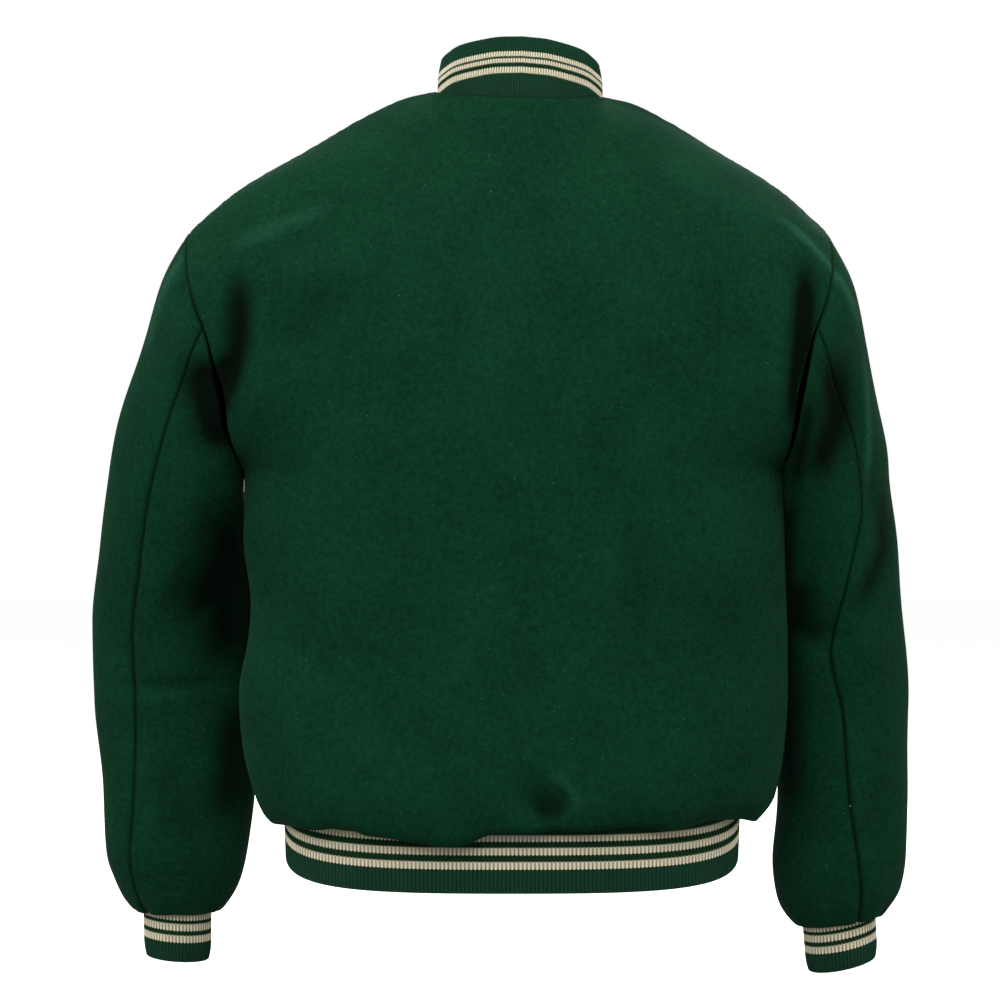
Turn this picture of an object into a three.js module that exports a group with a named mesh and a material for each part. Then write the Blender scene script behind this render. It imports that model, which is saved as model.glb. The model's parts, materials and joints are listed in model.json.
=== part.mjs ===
// A wool varsity jacket with rib-knit collar, cuffs and waistband, filled out as if worn.
// Millimetres, +Z up, the front faces -Y and the wearer's left is +X.
// The origin is the middle of the body at the height of the shoulder's neck points.
import * as THREE from "three";

// Driving sizes
const woolWall = 2.4;
const ribWall = 2.8;
const seamRetreat = 0.2; // each sewn edge stands back by this, so pieces are 0.4 mm apart at their edges
const rowsBelowArm = 12;
const rowsBesideArm = 11;
const halfColumns = 12;
const frontLap = 16; // how far each front passes the centre line
const lapDrop = 3.3; // how far the under front lies below the upper one
const lapEase = 62; // it starts to sink this far before the centre line
const lapFlat = 28; // and has sunk this far before it
const rightShoulder = 0.977; // the right half is slightly narrower at the shoulder
const woolGreen = 0x0d3824;
const ribGreen = 0x143826;
const snapGreen = 0x163a28;

// A table is a list of rows with named columns.
function table(names, rows) {
  const columns = names.split(" ");
  return rows.map((row) => Object.fromEntries(columns.map((name, i) => [name, row[i]])));
}

// Body below the underarm: half-widths to the wearer's left and right, and depths to back and front.
const bodyRows = table("climb z left right middle back front square", [
  [0.0, -588, 193, 193, 3, 111.6, 105.4, 2.5],
  [0.06, -599, 197, 197, 3, 115, 109, 2.5],
  [0.12, -604, 199, 202, 5, 122, 116, 2.5],
  [0.18, -599, 205, 208, 8, 129, 121, 2.5],
  [0.26, -582, 214, 220, 12, 132, 123, 2.45],
  [0.4, -543, 224, 227, 15, 129, 121, 2.4],
  [0.52, -497, 227, 229, 16, 126, 119, 2.4],
  [0.65, -446, 219, 229, 16, 124, 117, 2.4],
  [0.72, -420, 217, 228, 16, 124, 116, 2.4],
  [0.86, -365, 223, 226.5, 15, 124, 114, 2.4],
  [1.0, -312, 223, 223.5, 15, 124, 113, 2.4],
]);

// Armhole seam from the underarm (0) to the shoulder point (1).
const armholeRows = table("climb wide back front z", [
  [0.0, 223, 15, 15, -312],
  [0.15, 228, 53, -30, -298],
  [0.33, 238, 84, -59, -256],
  [0.5, 248, 90, -69, -208],
  [0.65, 262, 79, -62, -171],
  [0.8, 269, 54, -42, -140],
  [0.92, 271, 25, -17, -119],
  [1.0, 270, 3, 3, -110],
]);

// Centre back and centre front, from the underarm's height (0) to the neck seam (1).
const centreRows = table("climb backY backZ frontY frontZ", [
  [0.0, 124, -312, -113, -312],
  [0.25, 122, -227, -109, -252],
  [0.5, 114, -147, -102, -192],
  [0.7, 101, -90, -93, -144],
  [0.85, 86, -49, -84, -106],
  [0.95, 71, -18, -76, -77],
  [1.0, 62, -4, -70, -63],
]);

// Shoulder seam from the armhole (0) to the neck (1).
const shoulderRows = table("along x y z", [
  [0.0, 270, 3, -110],
  [0.2, 229, 1, -75],
  [0.48, 173, -2, -42],
  [0.72, 125, -4, -14],
  [0.89, 94, -5, 0],
  [1.0, 74, -4, 4],
]);
// The neck seam sits a little to the wearer's right and is higher at the left.
const neck = { wide: 74, middleY: -4, sideZ: 4, share: 2 / 3, sway: -7, tilt: 4, bow: 0.44 };
const frontNeckDip = 1.4; // above 1, the front neck seam drops later than the back one
// How the corner of shoulder and neck seam softens into the cloth.
const corner = { reach: 0.3, start: 1 / 3 };
// Above the underarm the rows turn from arcs into the top edge's shape.
const upperRows = {
  squareBelow: 2.4,
  squareAbove: 1.9,
  squareBy: 0.4,
  across: 2.6,
  down: 1.8,
  inset: 0.88,
  bend: 4,
};

// Large soft folds of the body: place, reach and lift, on the back (1) or the front (-1).
const bodyFolds = table("side x z wide tall lean lift", [
  [1, -92, -430, 20, 110, 0.05, -3.5],
  [1, -62, -440, 22, 120, 0.05, 2],
  [1, -26, -578, 26, 20, 0.0, -7],
  [1, 175, -150, 60, 38, -0.6, 3],
  [1, -175, -150, 60, 38, 0.6, 3],
  [1, 205, -395, 22, 80, 0.0, -5],
  [1, -208, -360, 20, 90, 0.0, -4],
  [1, 120, -560, 34, 40, 0.3, 3],
  [1, 225, -192, 12, 44, 0.0, -11],
  [1, -237, -198, 12, 52, 0.0, -11],
  [-1, 120, -250, 30, 80, 0.35, -4],
  [-1, -125, -250, 30, 80, -0.35, -4],
  [-1, 95, -520, 26, 60, -0.1, -4],
  [-1, -90, -505, 24, 70, 0.1, -3.5],
]);
const hemGathers = { count: 13, lift: 1.4, drop: 1.2, reach: 0.3, full: 0.06, lapFrom: 20, lapTo: 60 };
const hemRise = { tuck: 0.12, hang: 0.07, hangFrom: 0.12, hangTo: 0.34, foldsFrom: 0.06, foldsTo: 0.2 };
// How much lower or higher the back hangs over the waistband, from the wearer's right to the left.
const hemLine = table("x lift", [
  [-203, 0],
  [-186, 6],
  [-162, 6],
  [-142, 2.4],
  [-126, 0],
  [-102, 2.3],
  [-49, 2],
  [0, 0],
  [20, -2.5],
  [34, -8],
  [50, -10.5],
  [74, -9],
  [98, -6.5],
  [118, -4],
  [130, 1],
  [142, 3],
  [162, 0.5],
  [190, 0],
]);
const hipRise = { height: 24, power: 1.6 }; // the waistband and hem seam rise towards the hips

// Sleeve sections from the armhole down: outer and inner points, middle and half-depth, and seam turn.
const sleeveRows = {
  left: table("outX outZ inX inZ midY halfY turn", [
    [289, -147, 225, -329, 6, 84, 3],
    [307, -196, 223.8, -345, -2, 80, 6],
    [325, -250, 222.8, -368, -12, 75, 9],
    [341, -308, 220, -400, -22, 70, 12],
    [351, -376, 216.5, -436, -32, 65, 15],
    [359, -440, 218, -474, -42, 62, 16],
    [357, -510, 220, -522, -50, 60, 15.5],
    [350, -578, 220, -580, -51, 58, 22],
    [347, -635, 225, -632, -51, 56, 28],
    [340, -660, 232, -660, -52, 50, 30],
    [330, -679, 243, -679, -52, 43, 30],
    [321, -687, 251, -687, -52, 35.5, 30],
  ]),
  right: table("outX outZ inX inZ midY halfY turn", [
    [-283, -152, -225, -329, 6, 83, 3],
    [-297, -205, -225.2, -345, -2, 80, 8],
    [-308, -255, -227.2, -368, -12, 76, 14],
    [-319, -310, -228, -400, -22, 74, 11],
    [-327, -378, -228, -436, -33, 71, -9],
    [-333.5, -443, -228, -474, -42, 69, -25],
    [-339, -512, -229, -522, -48, 66, -16],
    [-339, -582, -228, -582, -51, 63, -10],
    [-338, -640, -224, -642, -51, 58, 2],
    [-334, -666, -228, -675, -52, 51, 6],
    [-325, -682, -237, -693, -52, 43, 8.5],
    [-317, -690, -246, -702, -52, 36.5, 9],
  ]),
};
// Large soft folds of the sleeves: left (1) or right (-1), on the back (1) or the front (-1).
const sleeveFolds = table("hand side x z wide tall lean lift", [
  [1, 1, 262, -242, 13, 28, 0.4, -8],
  [1, 1, 246, -425, 24, 85, 0.0, -8],
  [1, 1, 292, -492, 70, 7, 0.0, -2],
  [-1, 1, -269, -265, 12, 38, 0.0, -8],
  [-1, 1, -305, -375, 9, 60, 0.2, -4],
  [-1, 1, -238, -545, 14, 55, 0.0, -4],
  [1, -1, 288, -385, 60, 10, 0.0, -3],
  [1, -1, 284, -424, 55, 9, 0.0, -3],
  [-1, -1, -278, -380, 55, 10, 0.0, -3],
  [-1, -1, -276, -420, 50, 9, 0.0, -3],
]);
const sleeveClimb = [0, 0.4, 1, 1.5, 2, 3, 4, 5, 6, 7, 8, 9, 10, 11, 12, 13, 14];
const sleeveSeamShare = 5 / rowsBesideArm; // the seams leave the armhole this far from its top

// The cuffs' axes; tilt is how much each millimetre further out lifts their rings.
const cuffs = {
  left: { top: [286, -50, -667], bottom: [286, -53, -727], turn: 30, radius: 28.7, tilt: 0.08 },
  right: { top: [-279, -50, -677], bottom: [-283, -54, -733], turn: 8, radius: 31, tilt: 0.15 },
};
const cuff = {
  narrowing: 0.6,
  tuck: 2, // the folded edge draws in this far
  tuckReach: 0.25, // over this share of the height
  ribs: 60,
  ribLift: 0.35,
  innerEvery: 4,
  lap: 4,
  foldLap: 15,
  clearance: 0.6,
};

const band = {
  wide: 191.5,
  middle: 3,
  back: 110.2,
  front: 104.2,
  square: 2.5,
  top: -585.5,
  bottom: -654,
  narrowing: 2.5,
  ribs: 306,
  ribLift: 0.4,
  innerEvery: 4,
  lap: 15,
  lapDrop: 3.6,
  lapEase: 60,
  lapFlat: 17,
  length: 986,
};

const collar = {
  ribs: 184,
  ribLift: 0.3,
  innerEvery: 4,
  below: 3,
  endGap: 3,
  length: 440,
  corner: 14,
  bulge: 1.2,
};
// Collar height, inward lean in degrees and distance inside the neck seam, from back (0) to front (1).
const collarRows = table("round height lean inset", [
  [0.0, 51, 7, 4.6],
  [0.1, 49.5, 6, 4.6],
  [0.2, 45, 4, 4.6],
  [0.3, 39.5, 3.5, 5.0],
  [0.4, 32, 5, 5.4],
  [0.5, 27, 6, 5.4],
  [0.75, 28, 9, 5.6],
  [0.9, 31, 12, 7.5],
  [1.0, 33, 12, 8],
]);

const snap = {
  radius: 7.5,
  height: 3,
  seat: 0.55,
  edge: 0.8,
  brim: 0.86,
  domeStart: 0.72,
  crown: 0.5,
  sides: 14,
};
const snapHeights = [-82, -168, -254, -340, -426, -512];
const bandSnapHeight = -621;
const bandSnapSeat = 0.3; // it rests this far above the waistband's ribs

// A smooth curve through values at knots, with no overshoot.
function smooth(knots, values) {
  const last = knots.length - 1;
  const step = (i) => (values[i + 1] - values[i]) / (knots[i + 1] - knots[i]);
  const slope = knots.map((_, i) => {
    if (i === 0) return step(0);
    if (i === last) return step(last - 1);
    const before = step(i - 1);
    const after = step(i);
    return before * after <= 0 ? 0 : (2 * before * after) / (before + after);
  });
  return (t) => {
    const x = Math.min(Math.max(t, knots[0]), knots[last]);
    let i = 0;
    while (i < last - 1 && x > knots[i + 1]) i++;
    const width = knots[i + 1] - knots[i];
    const u = (x - knots[i]) / width;
    const a = (1 + 2 * u) * (1 - u) ** 2;
    const b = u * (1 - u) ** 2;
    const c = u * u * (3 - 2 * u);
    const d = u * u * (u - 1);
    return a * values[i] + b * width * slope[i] + c * values[i + 1] + d * width * slope[i + 1];
  };
}

// Every column of a table as a smooth function of its first column.
function track(rows) {
  const [key, ...names] = Object.keys(rows[0]);
  const knots = rows.map((row) => row[key]);
  const curves = names.map((name) => [name, smooth(knots, rows.map((row) => row[name]))]);
  return (t) => Object.fromEntries(curves.map(([name, curve]) => [name, curve(t)]));
}

const bodyAt = track(bodyRows);
const armholeAt = track(armholeRows);
const centreAt = track(centreRows);
const shoulderAt = track(shoulderRows);
const collarAt = track(collarRows);
const hemLineAt = track(hemLine);
const mix = (a, b, share) => a + (b - a) * share;
const ease = THREE.MathUtils.smoothstep;
const radians = (degrees) => (degrees * Math.PI) / 180;

// A quarter of a rounded rectangle by share of its length, from its side (0) to its middle (1).
function quarterRound(wide, deep, square) {
  const steps = 48;
  const points = [];
  const lengths = [0];
  for (let i = 0; i <= steps; i++) {
    const angle = ((i / steps) * Math.PI) / 2;
    points.push([Math.cos(angle) ** (2 / square), Math.sin(angle) ** (2 / square)]);
    if (i === 0) continue;
    const run = (points[i][0] - points[i - 1][0]) * wide;
    const rise = (points[i][1] - points[i - 1][1]) * deep;
    lengths.push(lengths[i - 1] + Math.hypot(run, rise));
  }
  points[steps] = [0, 1];
  return (share) => {
    const length = share * lengths[steps];
    let i = 0;
    while (i < steps - 1 && length > lengths[i + 1]) i++;
    const part = (length - lengths[i]) / (lengths[i + 1] - lengths[i]);
    return [mix(points[i][0], points[i + 1][0], part), mix(points[i][1], points[i + 1][1], part)];
  };
}

// Shoulder seam, then neck seam, as the top edge of the back (side 1) or front (side -1).
function topEdge(side, share) {
  if (share <= neck.share) {
    const at = shoulderAt(share / neck.share);
    return [at.x, at.y, at.z];
  }
  const angle = (((share - neck.share) / (1 - neck.share)) * Math.PI) / 2;
  const centre = centreAt(1);
  const [endY, endZ] = side > 0 ? [centre.backY, centre.backZ] : [centre.frontY, centre.frontZ];
  const drop = side > 0 ? Math.sin(angle) : Math.sin(angle) ** frontNeckDip;
  return [
    neck.wide * Math.cos(angle),
    mix(neck.middleY, endY, Math.sin(angle)),
    mix(neck.sideZ, endZ, drop),
  ];
}

// How far the large folds of one side stand out at a place.
function foldLift(folds, side, x, z) {
  let lift = 0;
  for (const fold of folds) {
    if (fold.side !== side) continue;
    const across = (x - fold.x - fold.lean * (z - fold.z)) / fold.wide;
    const up = (z - fold.z) / fold.tall;
    lift += fold.lift * Math.exp(-across * across - up * up);
  }
  return lift;
}

// How far the hem seam rises, by depth from the side (0) to the middle (1).
function hipLift(depth) {
  return hipRise.height * (1 - Math.min(1, depth)) ** hipRise.power;
}

// How much higher the neck seam is at a place across it.
function neckTilt(x) {
  const part = THREE.MathUtils.clamp(x / neck.wide, -1, 1);
  return neck.tilt * part * (1 - neck.bow + neck.bow * part);
}

// The top edge with its corner softened, as rows further down follow it.
function softTop(side, share, up) {
  const reach = corner.reach * Math.sqrt(1 - up) * Math.min(1, share / corner.start);
  const sum = [0, 0, 0];
  for (const offset of [-1, -0.5, 0, 0.5, 1]) {
    const at = share + offset * reach;
    const [x, y, z] = topEdge(side, at <= 1 ? at : 2 - at);
    sum[0] += (at <= 1 ? x : -x) / 5;
    sum[1] += y / 5;
    sum[2] += z / 5;
  }
  return sum;
}

// A point of the body: climb 0 at the hem, 1 at the underarm, 2 at the shoulder;
// share 0 at the wearer's left, 1 at the centre, 2 at the right.
function bodyPoint(side, climb, share) {
  const hand = share <= 1 ? 1 : -1;
  const across = share <= 1 ? share : 2 - share;
  if (climb <= 1) {
    const row = bodyAt(climb);
    const wide = hand > 0 ? row.left : row.right;
    const depth = side > 0 ? row.back - row.middle : row.front + row.middle;
    const [x, y] = quarterRound(wide, depth, row.square)(across);
    const angle = Math.atan2(side * y * depth, hand * x * wide);
    const offLap = side < 0 ? ease(x * wide, hemGathers.lapFrom, hemGathers.lapTo) : 1;
    const nearHem = Math.max(0, 1 - climb / hemGathers.reach) ** 0.7;
    const fade = nearHem * Math.min(1, climb / hemGathers.full) * offLap;
    const wave = Math.sin(hemGathers.count * angle + Math.sin(3 * angle));
    const aboveHem = ease(climb, hemRise.foldsFrom, hemRise.foldsTo);
    const gathers = fade * hemGathers.lift * wave;
    const lift = foldLift(bodyFolds, side, hand * x * wide, row.z) * aboveHem + gathers;
    const out = side * lift * y;
    const sideways = hand * gathers * x;
    const onTuck = 1 - ease(climb, 0, hemRise.tuck);
    const onFold = ease(climb, 0, hemRise.hang) * (1 - ease(climb, hemRise.hangFrom, hemRise.hangTo));
    const hang = side > 0 ? hemLineAt(hand * x * wide).lift * onFold : 0;
    return new THREE.Vector3(
      hand * x * wide + sideways,
      row.middle + side * depth * y + out,
      row.z - fade * hemGathers.drop * wave + hipLift(y) * onTuck + hang,
    );
  }
  const up = climb - 1;
  const hole = armholeAt(up);
  const centre = centreAt(up);
  const narrow = hand > 0 ? 1 : mix(1, rightShoulder, up);
  const wide = hole.wide * narrow;
  const endY = side > 0 ? hole.back : hole.front;
  const [middleY, middleZ] = side > 0 ? [centre.backY, centre.backZ] : [centre.frontY, centre.frontZ];
  const square = mix(upperRows.squareBelow, upperRows.squareAbove, Math.min(1, up / upperRows.squareBy));
  const [x, y] = quarterRound(wide, Math.abs(middleY - endY), square)(across);
  const level = Math.sin((across * Math.PI) / 2);
  // Near the top the rows follow the shoulder and neck seams, and lower down they are plain arcs.
  const top = softTop(side, across, up);
  const topHole = armholeAt(1);
  const topCentre = centreAt(1);
  const [topY, topZ] = side > 0 ? [topCentre.backY, topCentre.backZ] : [topCentre.frontY, topCentre.frontZ];
  const inner = Math.min(1, across / upperRows.inset) ** upperRows.bend;
  const follow = up ** upperRows.down;
  const point = [
    mix(wide * x, narrow * (top[0] + (hole.wide - topHole.wide) * (1 - across)), up ** upperRows.across),
    mix(mix(endY, middleY, y), top[1] + mix(endY - topHole.back, middleY - topY, inner), follow),
    mix(mix(hole.z, middleZ, level), top[2] + mix(hole.z - topHole.z, middleZ - topZ, inner), follow),
  ];
  const lift = foldLift(bodyFolds, side, hand * point[0], point[2]) * y * (1 - up ** 4);
  const nearNeck = ease(across, 0, neck.share) * up ** 2;
  return new THREE.Vector3(
    hand * point[0] + neck.sway * nearNeck,
    point[1] + side * lift,
    point[2] + neckTilt(hand * point[0]) * nearNeck,
  );
}

function bodyNormal(side, climb, share) {
  const step = 0.004;
  const across = bodyPoint(side, climb, share + step).sub(bodyPoint(side, climb, share - step));
  const rise = bodyPoint(side, Math.min(2, climb + step), share).sub(
    bodyPoint(side, Math.max(0, climb - step), share),
  );
  return side > 0 ? across.cross(rise).normalize() : rise.cross(across).normalize();
}

// The climbs of the body's rows, closer together at the hem.
const bodyClimbs = [];
for (let i = 0; i <= rowsBelowArm; i++) {
  const share = i / rowsBelowArm;
  bodyClimbs.push(share < 0.34 ? share * 0.72 : mix(0.18, 1, (share - 0.25) / 0.75));
}
for (let i = 1; i <= rowsBesideArm; i++) bodyClimbs.push(1 + i / rowsBesideArm);

function backGrid() {
  const columns = 2 * halfColumns;
  return bodyClimbs.map((climb) =>
    Array.from({ length: columns + 1 }, (_, i) => bodyPoint(1, climb, i / halfColumns)),
  );
}

// A front runs from its side seam past the centre line. The right one sinks under the left.
function frontGrid(hand) {
  return bodyClimbs.map((climb) => {
    const near = bodyPoint(-1, climb, 1 - 0.5 / halfColumns);
    const lapShare = (frontLap / Math.max(near.x, 1)) * (0.5 / halfColumns);
    const row = [];
    for (let i = 0; i <= halfColumns + 1; i++) {
      const share = i <= halfColumns ? i / halfColumns : 1 + lapShare;
      const point = bodyPoint(-1, climb, hand > 0 ? share : 2 - share);
      if (hand < 0) {
        const sink = lapDrop * ease(point.x, -lapEase, -lapFlat);
        point.addScaledVector(bodyNormal(-1, climb, 2 - share), -sink);
      }
      row.push(point);
    }
    return hand > 0 ? row.reverse() : row;
  });
}

// The ring round a cuff at a height below its top, clear of its ribs.
function cuffRing(hand, below, angle) {
  const spec = cuffs[hand];
  const top = new THREE.Vector3(...spec.top);
  const down = new THREE.Vector3(...spec.bottom).sub(top).normalize();
  const out = new THREE.Vector3(hand === "left" ? 1 : -1, 0, 0);
  out.addScaledVector(down, -out.dot(down)).normalize();
  const behind = new THREE.Vector3().crossVectors(down, out);
  if (behind.y < 0) behind.negate();
  return (radius) =>
    top
      .clone()
      .addScaledVector(down, below - spec.tilt * radius * Math.cos(angle))
      .addScaledVector(out, radius * Math.cos(angle))
      .addScaledVector(behind, radius * Math.sin(angle));
}

// One line down the sleeve from the armhole, at an angle from the top round by the back.
function sleeveLine(hand, share) {
  const sign = hand === "left" ? 1 : -1;
  const angle = share * 2 * Math.PI;
  const back = share <= 0.5;
  const climb = back ? 1 - 2 * share : 2 * share - 1;
  const points = [bodyPoint(back ? 1 : -1, 1 + climb, sign > 0 ? 0 : 2)];
  for (const row of sleeveRows[hand]) {
    const turned = angle - radians(row.turn);
    const along = Math.cos(turned);
    points.push(
      new THREE.Vector3(
        mix(row.inX, row.outX, (1 + along) / 2),
        row.midY + row.halfY * Math.sin(turned),
        mix(row.inZ, row.outZ, (1 + along) / 2),
      ),
    );
  }
  const clear = cuffs[hand].radius + cuff.ribLift + cuff.clearance;
  const turned = angle - radians(cuffs[hand].turn);
  points.push(cuffRing(hand, cuff.foldLap, turned)(clear));
  points.push(cuffRing(hand, cuff.lap, turned)(clear));
  const knots = points.map((_, i) => i);
  const curves = ["x", "y", "z"].map((axis) => smooth(knots, points.map((point) => point[axis])));
  const folds = sleeveFolds.filter((fold) => fold.hand === sign);
  return (k) => {
    const point = new THREE.Vector3(...curves.map((curve) => curve(k)));
    const side = Math.sin(angle) >= 0 ? 1 : -1;
    const offEnds = ease(k, 0, 1) * (1 - ease(k, knots.length - 4, knots.length - 2));
    point.y += foldLift(folds, side, point.x, point.z) * Math.sin(angle) * offEnds;
    return point;
  };
}

// The sleeve's whole grid, its rows climbing from the cuff to the armhole.
function sleeveGrid(hand) {
  const columns = 2 * rowsBesideArm;
  const lines = Array.from({ length: columns }, (_, i) => sleeveLine(hand, i / columns));
  const rows = sleeveClimb.map((k) => lines.map((line) => line(k)));
  return rows.reverse().map((row) => (hand === "left" ? row : row.reverse()));
}

// Columns first to last of a round grid.
function slice(grid, first, last) {
  const count = grid[0].length;
  return grid.map((row) =>
    Array.from({ length: last - first + 1 }, (_, i) => row[(first + i + count) % count].clone()),
  );
}

// The same text for points at the same place.
const key = (point) => point.toArray().map((value) => Math.round(value * 100)).join();

// Outward directions at every point, shared by pieces that meet there.
function sharedNormals(grids) {
  const sums = new Map();
  for (const grid of grids)
    for (let r = 0; r + 1 < grid.length; r++)
      for (let c = 0; c + 1 < grid[0].length; c++) {
        const corners = [grid[r][c], grid[r][c + 1], grid[r + 1][c + 1], grid[r + 1][c]];
        const face = corners[2].clone().sub(corners[0]).cross(corners[3].clone().sub(corners[1]));
        for (const corner of corners) {
          if (!sums.has(key(corner))) sums.set(key(corner), new THREE.Vector3());
          sums.get(key(corner)).add(face);
        }
      }
  return (point) => sums.get(key(point)).clone().normalize();
}

// How each piece stands back from its neighbours at the points where they are sewn together.
function seamShifts(grids) {
  const meeting = new Map();
  grids.forEach((grid, piece) =>
    grid.forEach((row, r) =>
      row.forEach((point, c) => {
        const inside = new THREE.Vector3();
        for (const [dr, dc] of [[-1, -1], [-1, 1], [1, -1], [1, 1]]) {
          const corner = grid[r + dr]?.[c + dc];
          if (corner) inside.add(corner).add(grid[r + dr][c]).add(row[c + dc]).addScaledVector(point, -3);
        }
        if (!meeting.has(key(point))) meeting.set(key(point), new Map());
        meeting.get(key(point)).set(piece, inside.normalize());
      }),
    ),
  );
  return (piece, point) => {
    const here = meeting.get(key(point));
    const shift = new THREE.Vector3();
    if (here.size === 1) return shift;
    for (const inside of here.values()) shift.addScaledVector(inside, -1 / here.size);
    return shift.add(here.get(piece)).setLength(seamRetreat);
  };
}

// A closed wall between an outer grid and an inner one, which may have fewer columns.
function wallGeometry(outer, inner, round = false) {
  const positions = [];
  const faces = [];
  const indexed = (grid) =>
    grid.map((row) =>
      row.map((point) => {
        positions.push(point.x, point.y, point.z);
        return positions.length / 3 - 1;
      }),
    );
  const wrap = (grid) => (round ? grid.map((row) => [...row, row[0]]) : grid);
  const a = wrap(indexed(outer));
  const b = wrap(indexed(inner));
  for (const [grid, flip] of [
    [a, false],
    [b, true],
  ])
    for (let r = 0; r + 1 < grid.length; r++)
      for (let c = 0; c + 1 < grid[0].length; c++) {
        const [p, q, s, t] = [grid[r][c], grid[r][c + 1], grid[r + 1][c + 1], grid[r + 1][c]];
        if (flip) faces.push(q, p, s, p, t, s);
        else faces.push(p, q, s, p, s, t);
      }
  const apart = (p, q) =>
    Math.hypot(...[0, 1, 2].map((axis) => positions[3 * p + axis] - positions[3 * q + axis]));
  // An edge face, split along its shorter diagonal, as the next piece's edge is.
  const strip = (lineA, lineB) => {
    let i = 0;
    let j = 0;
    const endA = lineA.length - 1;
    const endB = lineB.length - 1;
    while (i < endA || j < endB) {
      const ahead = (i + 1) * endB - (j + 1) * endA;
      const even = ahead === 0 && i < endA;
      const shorter = even && apart(lineA[i + 1], lineB[j]) <= apart(lineA[i], lineB[j + 1]);
      if (j === endB || (i < endA && ahead < 0) || shorter) {
        faces.push(lineA[i + 1], lineA[i], lineB[j]);
        i++;
      } else {
        faces.push(lineA[i], lineB[j], lineB[j + 1]);
        j++;
      }
    }
  };
  const column = (grid, c) => grid.map((row) => row.at(c));
  strip(a[0], b[0]);
  strip([...a.at(-1)].reverse(), [...b.at(-1)].reverse());
  if (!round) {
    strip(column(a, -1), column(b, -1));
    strip(column(a, 0).reverse(), column(b, 0).reverse());
  }
  const geometry = new THREE.BufferGeometry();
  geometry.setAttribute("position", new THREE.Float32BufferAttribute(positions, 3));
  geometry.setIndex(faces);
  return geometry;
}

function clothGeometry(grid, shiftAt, normalAt) {
  const outer = grid.map((row) => row.map((point) => point.clone().add(shiftAt(point))));
  const inner = outer.map((row, r) =>
    row.map((point, c) => point.clone().addScaledVector(normalAt(grid[r][c]), -woolWall)),
  );
  return wallGeometry(outer, inner);
}

// The waistband's path by share of its length, from the centre front round by the wearer's left.
function bandPath(share, inset) {
  const part = (((share % 1) + 1) % 1) * 4;
  const quarter = Math.floor(part);
  const side = quarter === 0 || quarter === 3 ? -1 : 1;
  const hand = quarter < 2 ? 1 : -1;
  const fromSide = quarter % 2 === 0 ? 1 - (part - quarter) : part - quarter;
  const wide = band.wide - inset;
  const depth = (side > 0 ? band.back - band.middle : band.front + band.middle) - inset;
  const [x, y] = quarterRound(wide, depth, band.square)(fromSide);
  return new THREE.Vector3(hand * x * wide, band.middle + side * depth * y, hipLift(y));
}

function bandPoint(share, level, lift) {
  const sink = ease((share - 1) * band.length, -band.lapEase, -band.lapFlat);
  const inset = band.lapDrop * sink + band.narrowing * (1 - level);
  const point = bandPath(share, inset);
  const along = bandPath(share + 0.002, inset).sub(bandPath(share - 0.002, inset));
  const outward = new THREE.Vector3(along.y, -along.x, 0).normalize();
  point.z += mix(band.bottom, band.top, level);
  return point.addScaledVector(outward, lift);
}

// Rings of points for a ribbed wall: raised ribs outside, a plain coarser inside.
function ribbedGeometry(pointAt, spec, levels, from, to, round = false) {
  const count = spec.ribs * 2;
  const share = (i) => from + ((to - from) * i) / count;
  const ends = round ? 0 : 1;
  const outer = levels.map((level) =>
    Array.from({ length: count + ends }, (_, i) =>
      pointAt(share(i), level, i % 2 === 0 ? spec.ribLift : -spec.ribLift),
    ),
  );
  const innerCount = count / spec.innerEvery;
  const inner = levels.map((level) =>
    Array.from({ length: innerCount + ends }, (_, i) =>
      pointAt(share(i * spec.innerEvery), level, -ribWall),
    ),
  );
  return wallGeometry(outer, inner, round);
}

// The collar by share of its path, from the centre front round by the wearer's left.
function neckPoint(share) {
  const round = Math.abs(2 * share - 1);
  const hand = share < 0.5 ? 1 : -1;
  const side = round <= 0.5 ? 1 : -1;
  const part = round <= 0.5 ? 1 - 2 * round : 2 * round - 1;
  const [x, y, z] = topEdge(side, mix(neck.share, 1, part));
  return new THREE.Vector3(hand * x + neck.sway, y, z + neckTilt(hand * x));
}

function collarPoint(share, level, lift) {
  const base = neckPoint(share);
  const outward = new THREE.Vector3(base.x - neck.sway, base.y - neck.middleY, 0).normalize();
  const along = neckPoint(share + 0.004).sub(neckPoint(share - 0.004));
  const rise = outward.clone().cross(along).normalize();
  const row = collarAt(Math.abs(2 * share - 1));
  const lean = radians(row.lean);
  const upward = rise.clone().multiplyScalar(Math.cos(lean)).addScaledVector(outward, -Math.sin(lean));
  const normal = outward.clone().multiplyScalar(Math.cos(lean)).addScaledVector(rise, Math.sin(lean));
  const fromEnd = Math.min(share, 1 - share) * collar.length;
  const inCorner = Math.max(0, collar.corner - fromEnd);
  const cut = collar.corner - Math.sqrt(collar.corner ** 2 - inCorner ** 2);
  const height = mix(-collar.below, row.height - cut, level);
  const bulge = collar.bulge * Math.sin(Math.PI * level);
  return base
    .addScaledVector(outward, -row.inset)
    .addScaledVector(upward, height)
    .addScaledVector(normal, lift + bulge);
}

function cuffPoint(hand, share, level, lift) {
  const spec = cuffs[hand];
  const length = new THREE.Vector3(...spec.bottom).distanceTo(new THREE.Vector3(...spec.top));
  const angle = share * 2 * Math.PI;
  const nearFold = Math.max(0, 1 - level / cuff.tuckReach);
  const radius = spec.radius - cuff.narrowing * (1 - level) - cuff.tuck * nearFold ** 2 + lift;
  return cuffRing(hand, (1 - level) * length, hand === "left" ? angle : -angle)(radius);
}

const cloth = (colour) => new THREE.MeshStandardMaterial({ color: colour, roughness: 0.95, metalness: 0 });
const wool = cloth(woolGreen);
const rib = cloth(ribGreen);
const metal = new THREE.MeshStandardMaterial({ color: snapGreen, roughness: 0.4, metalness: 0.2 });
const jacket = new THREE.Group();

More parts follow.
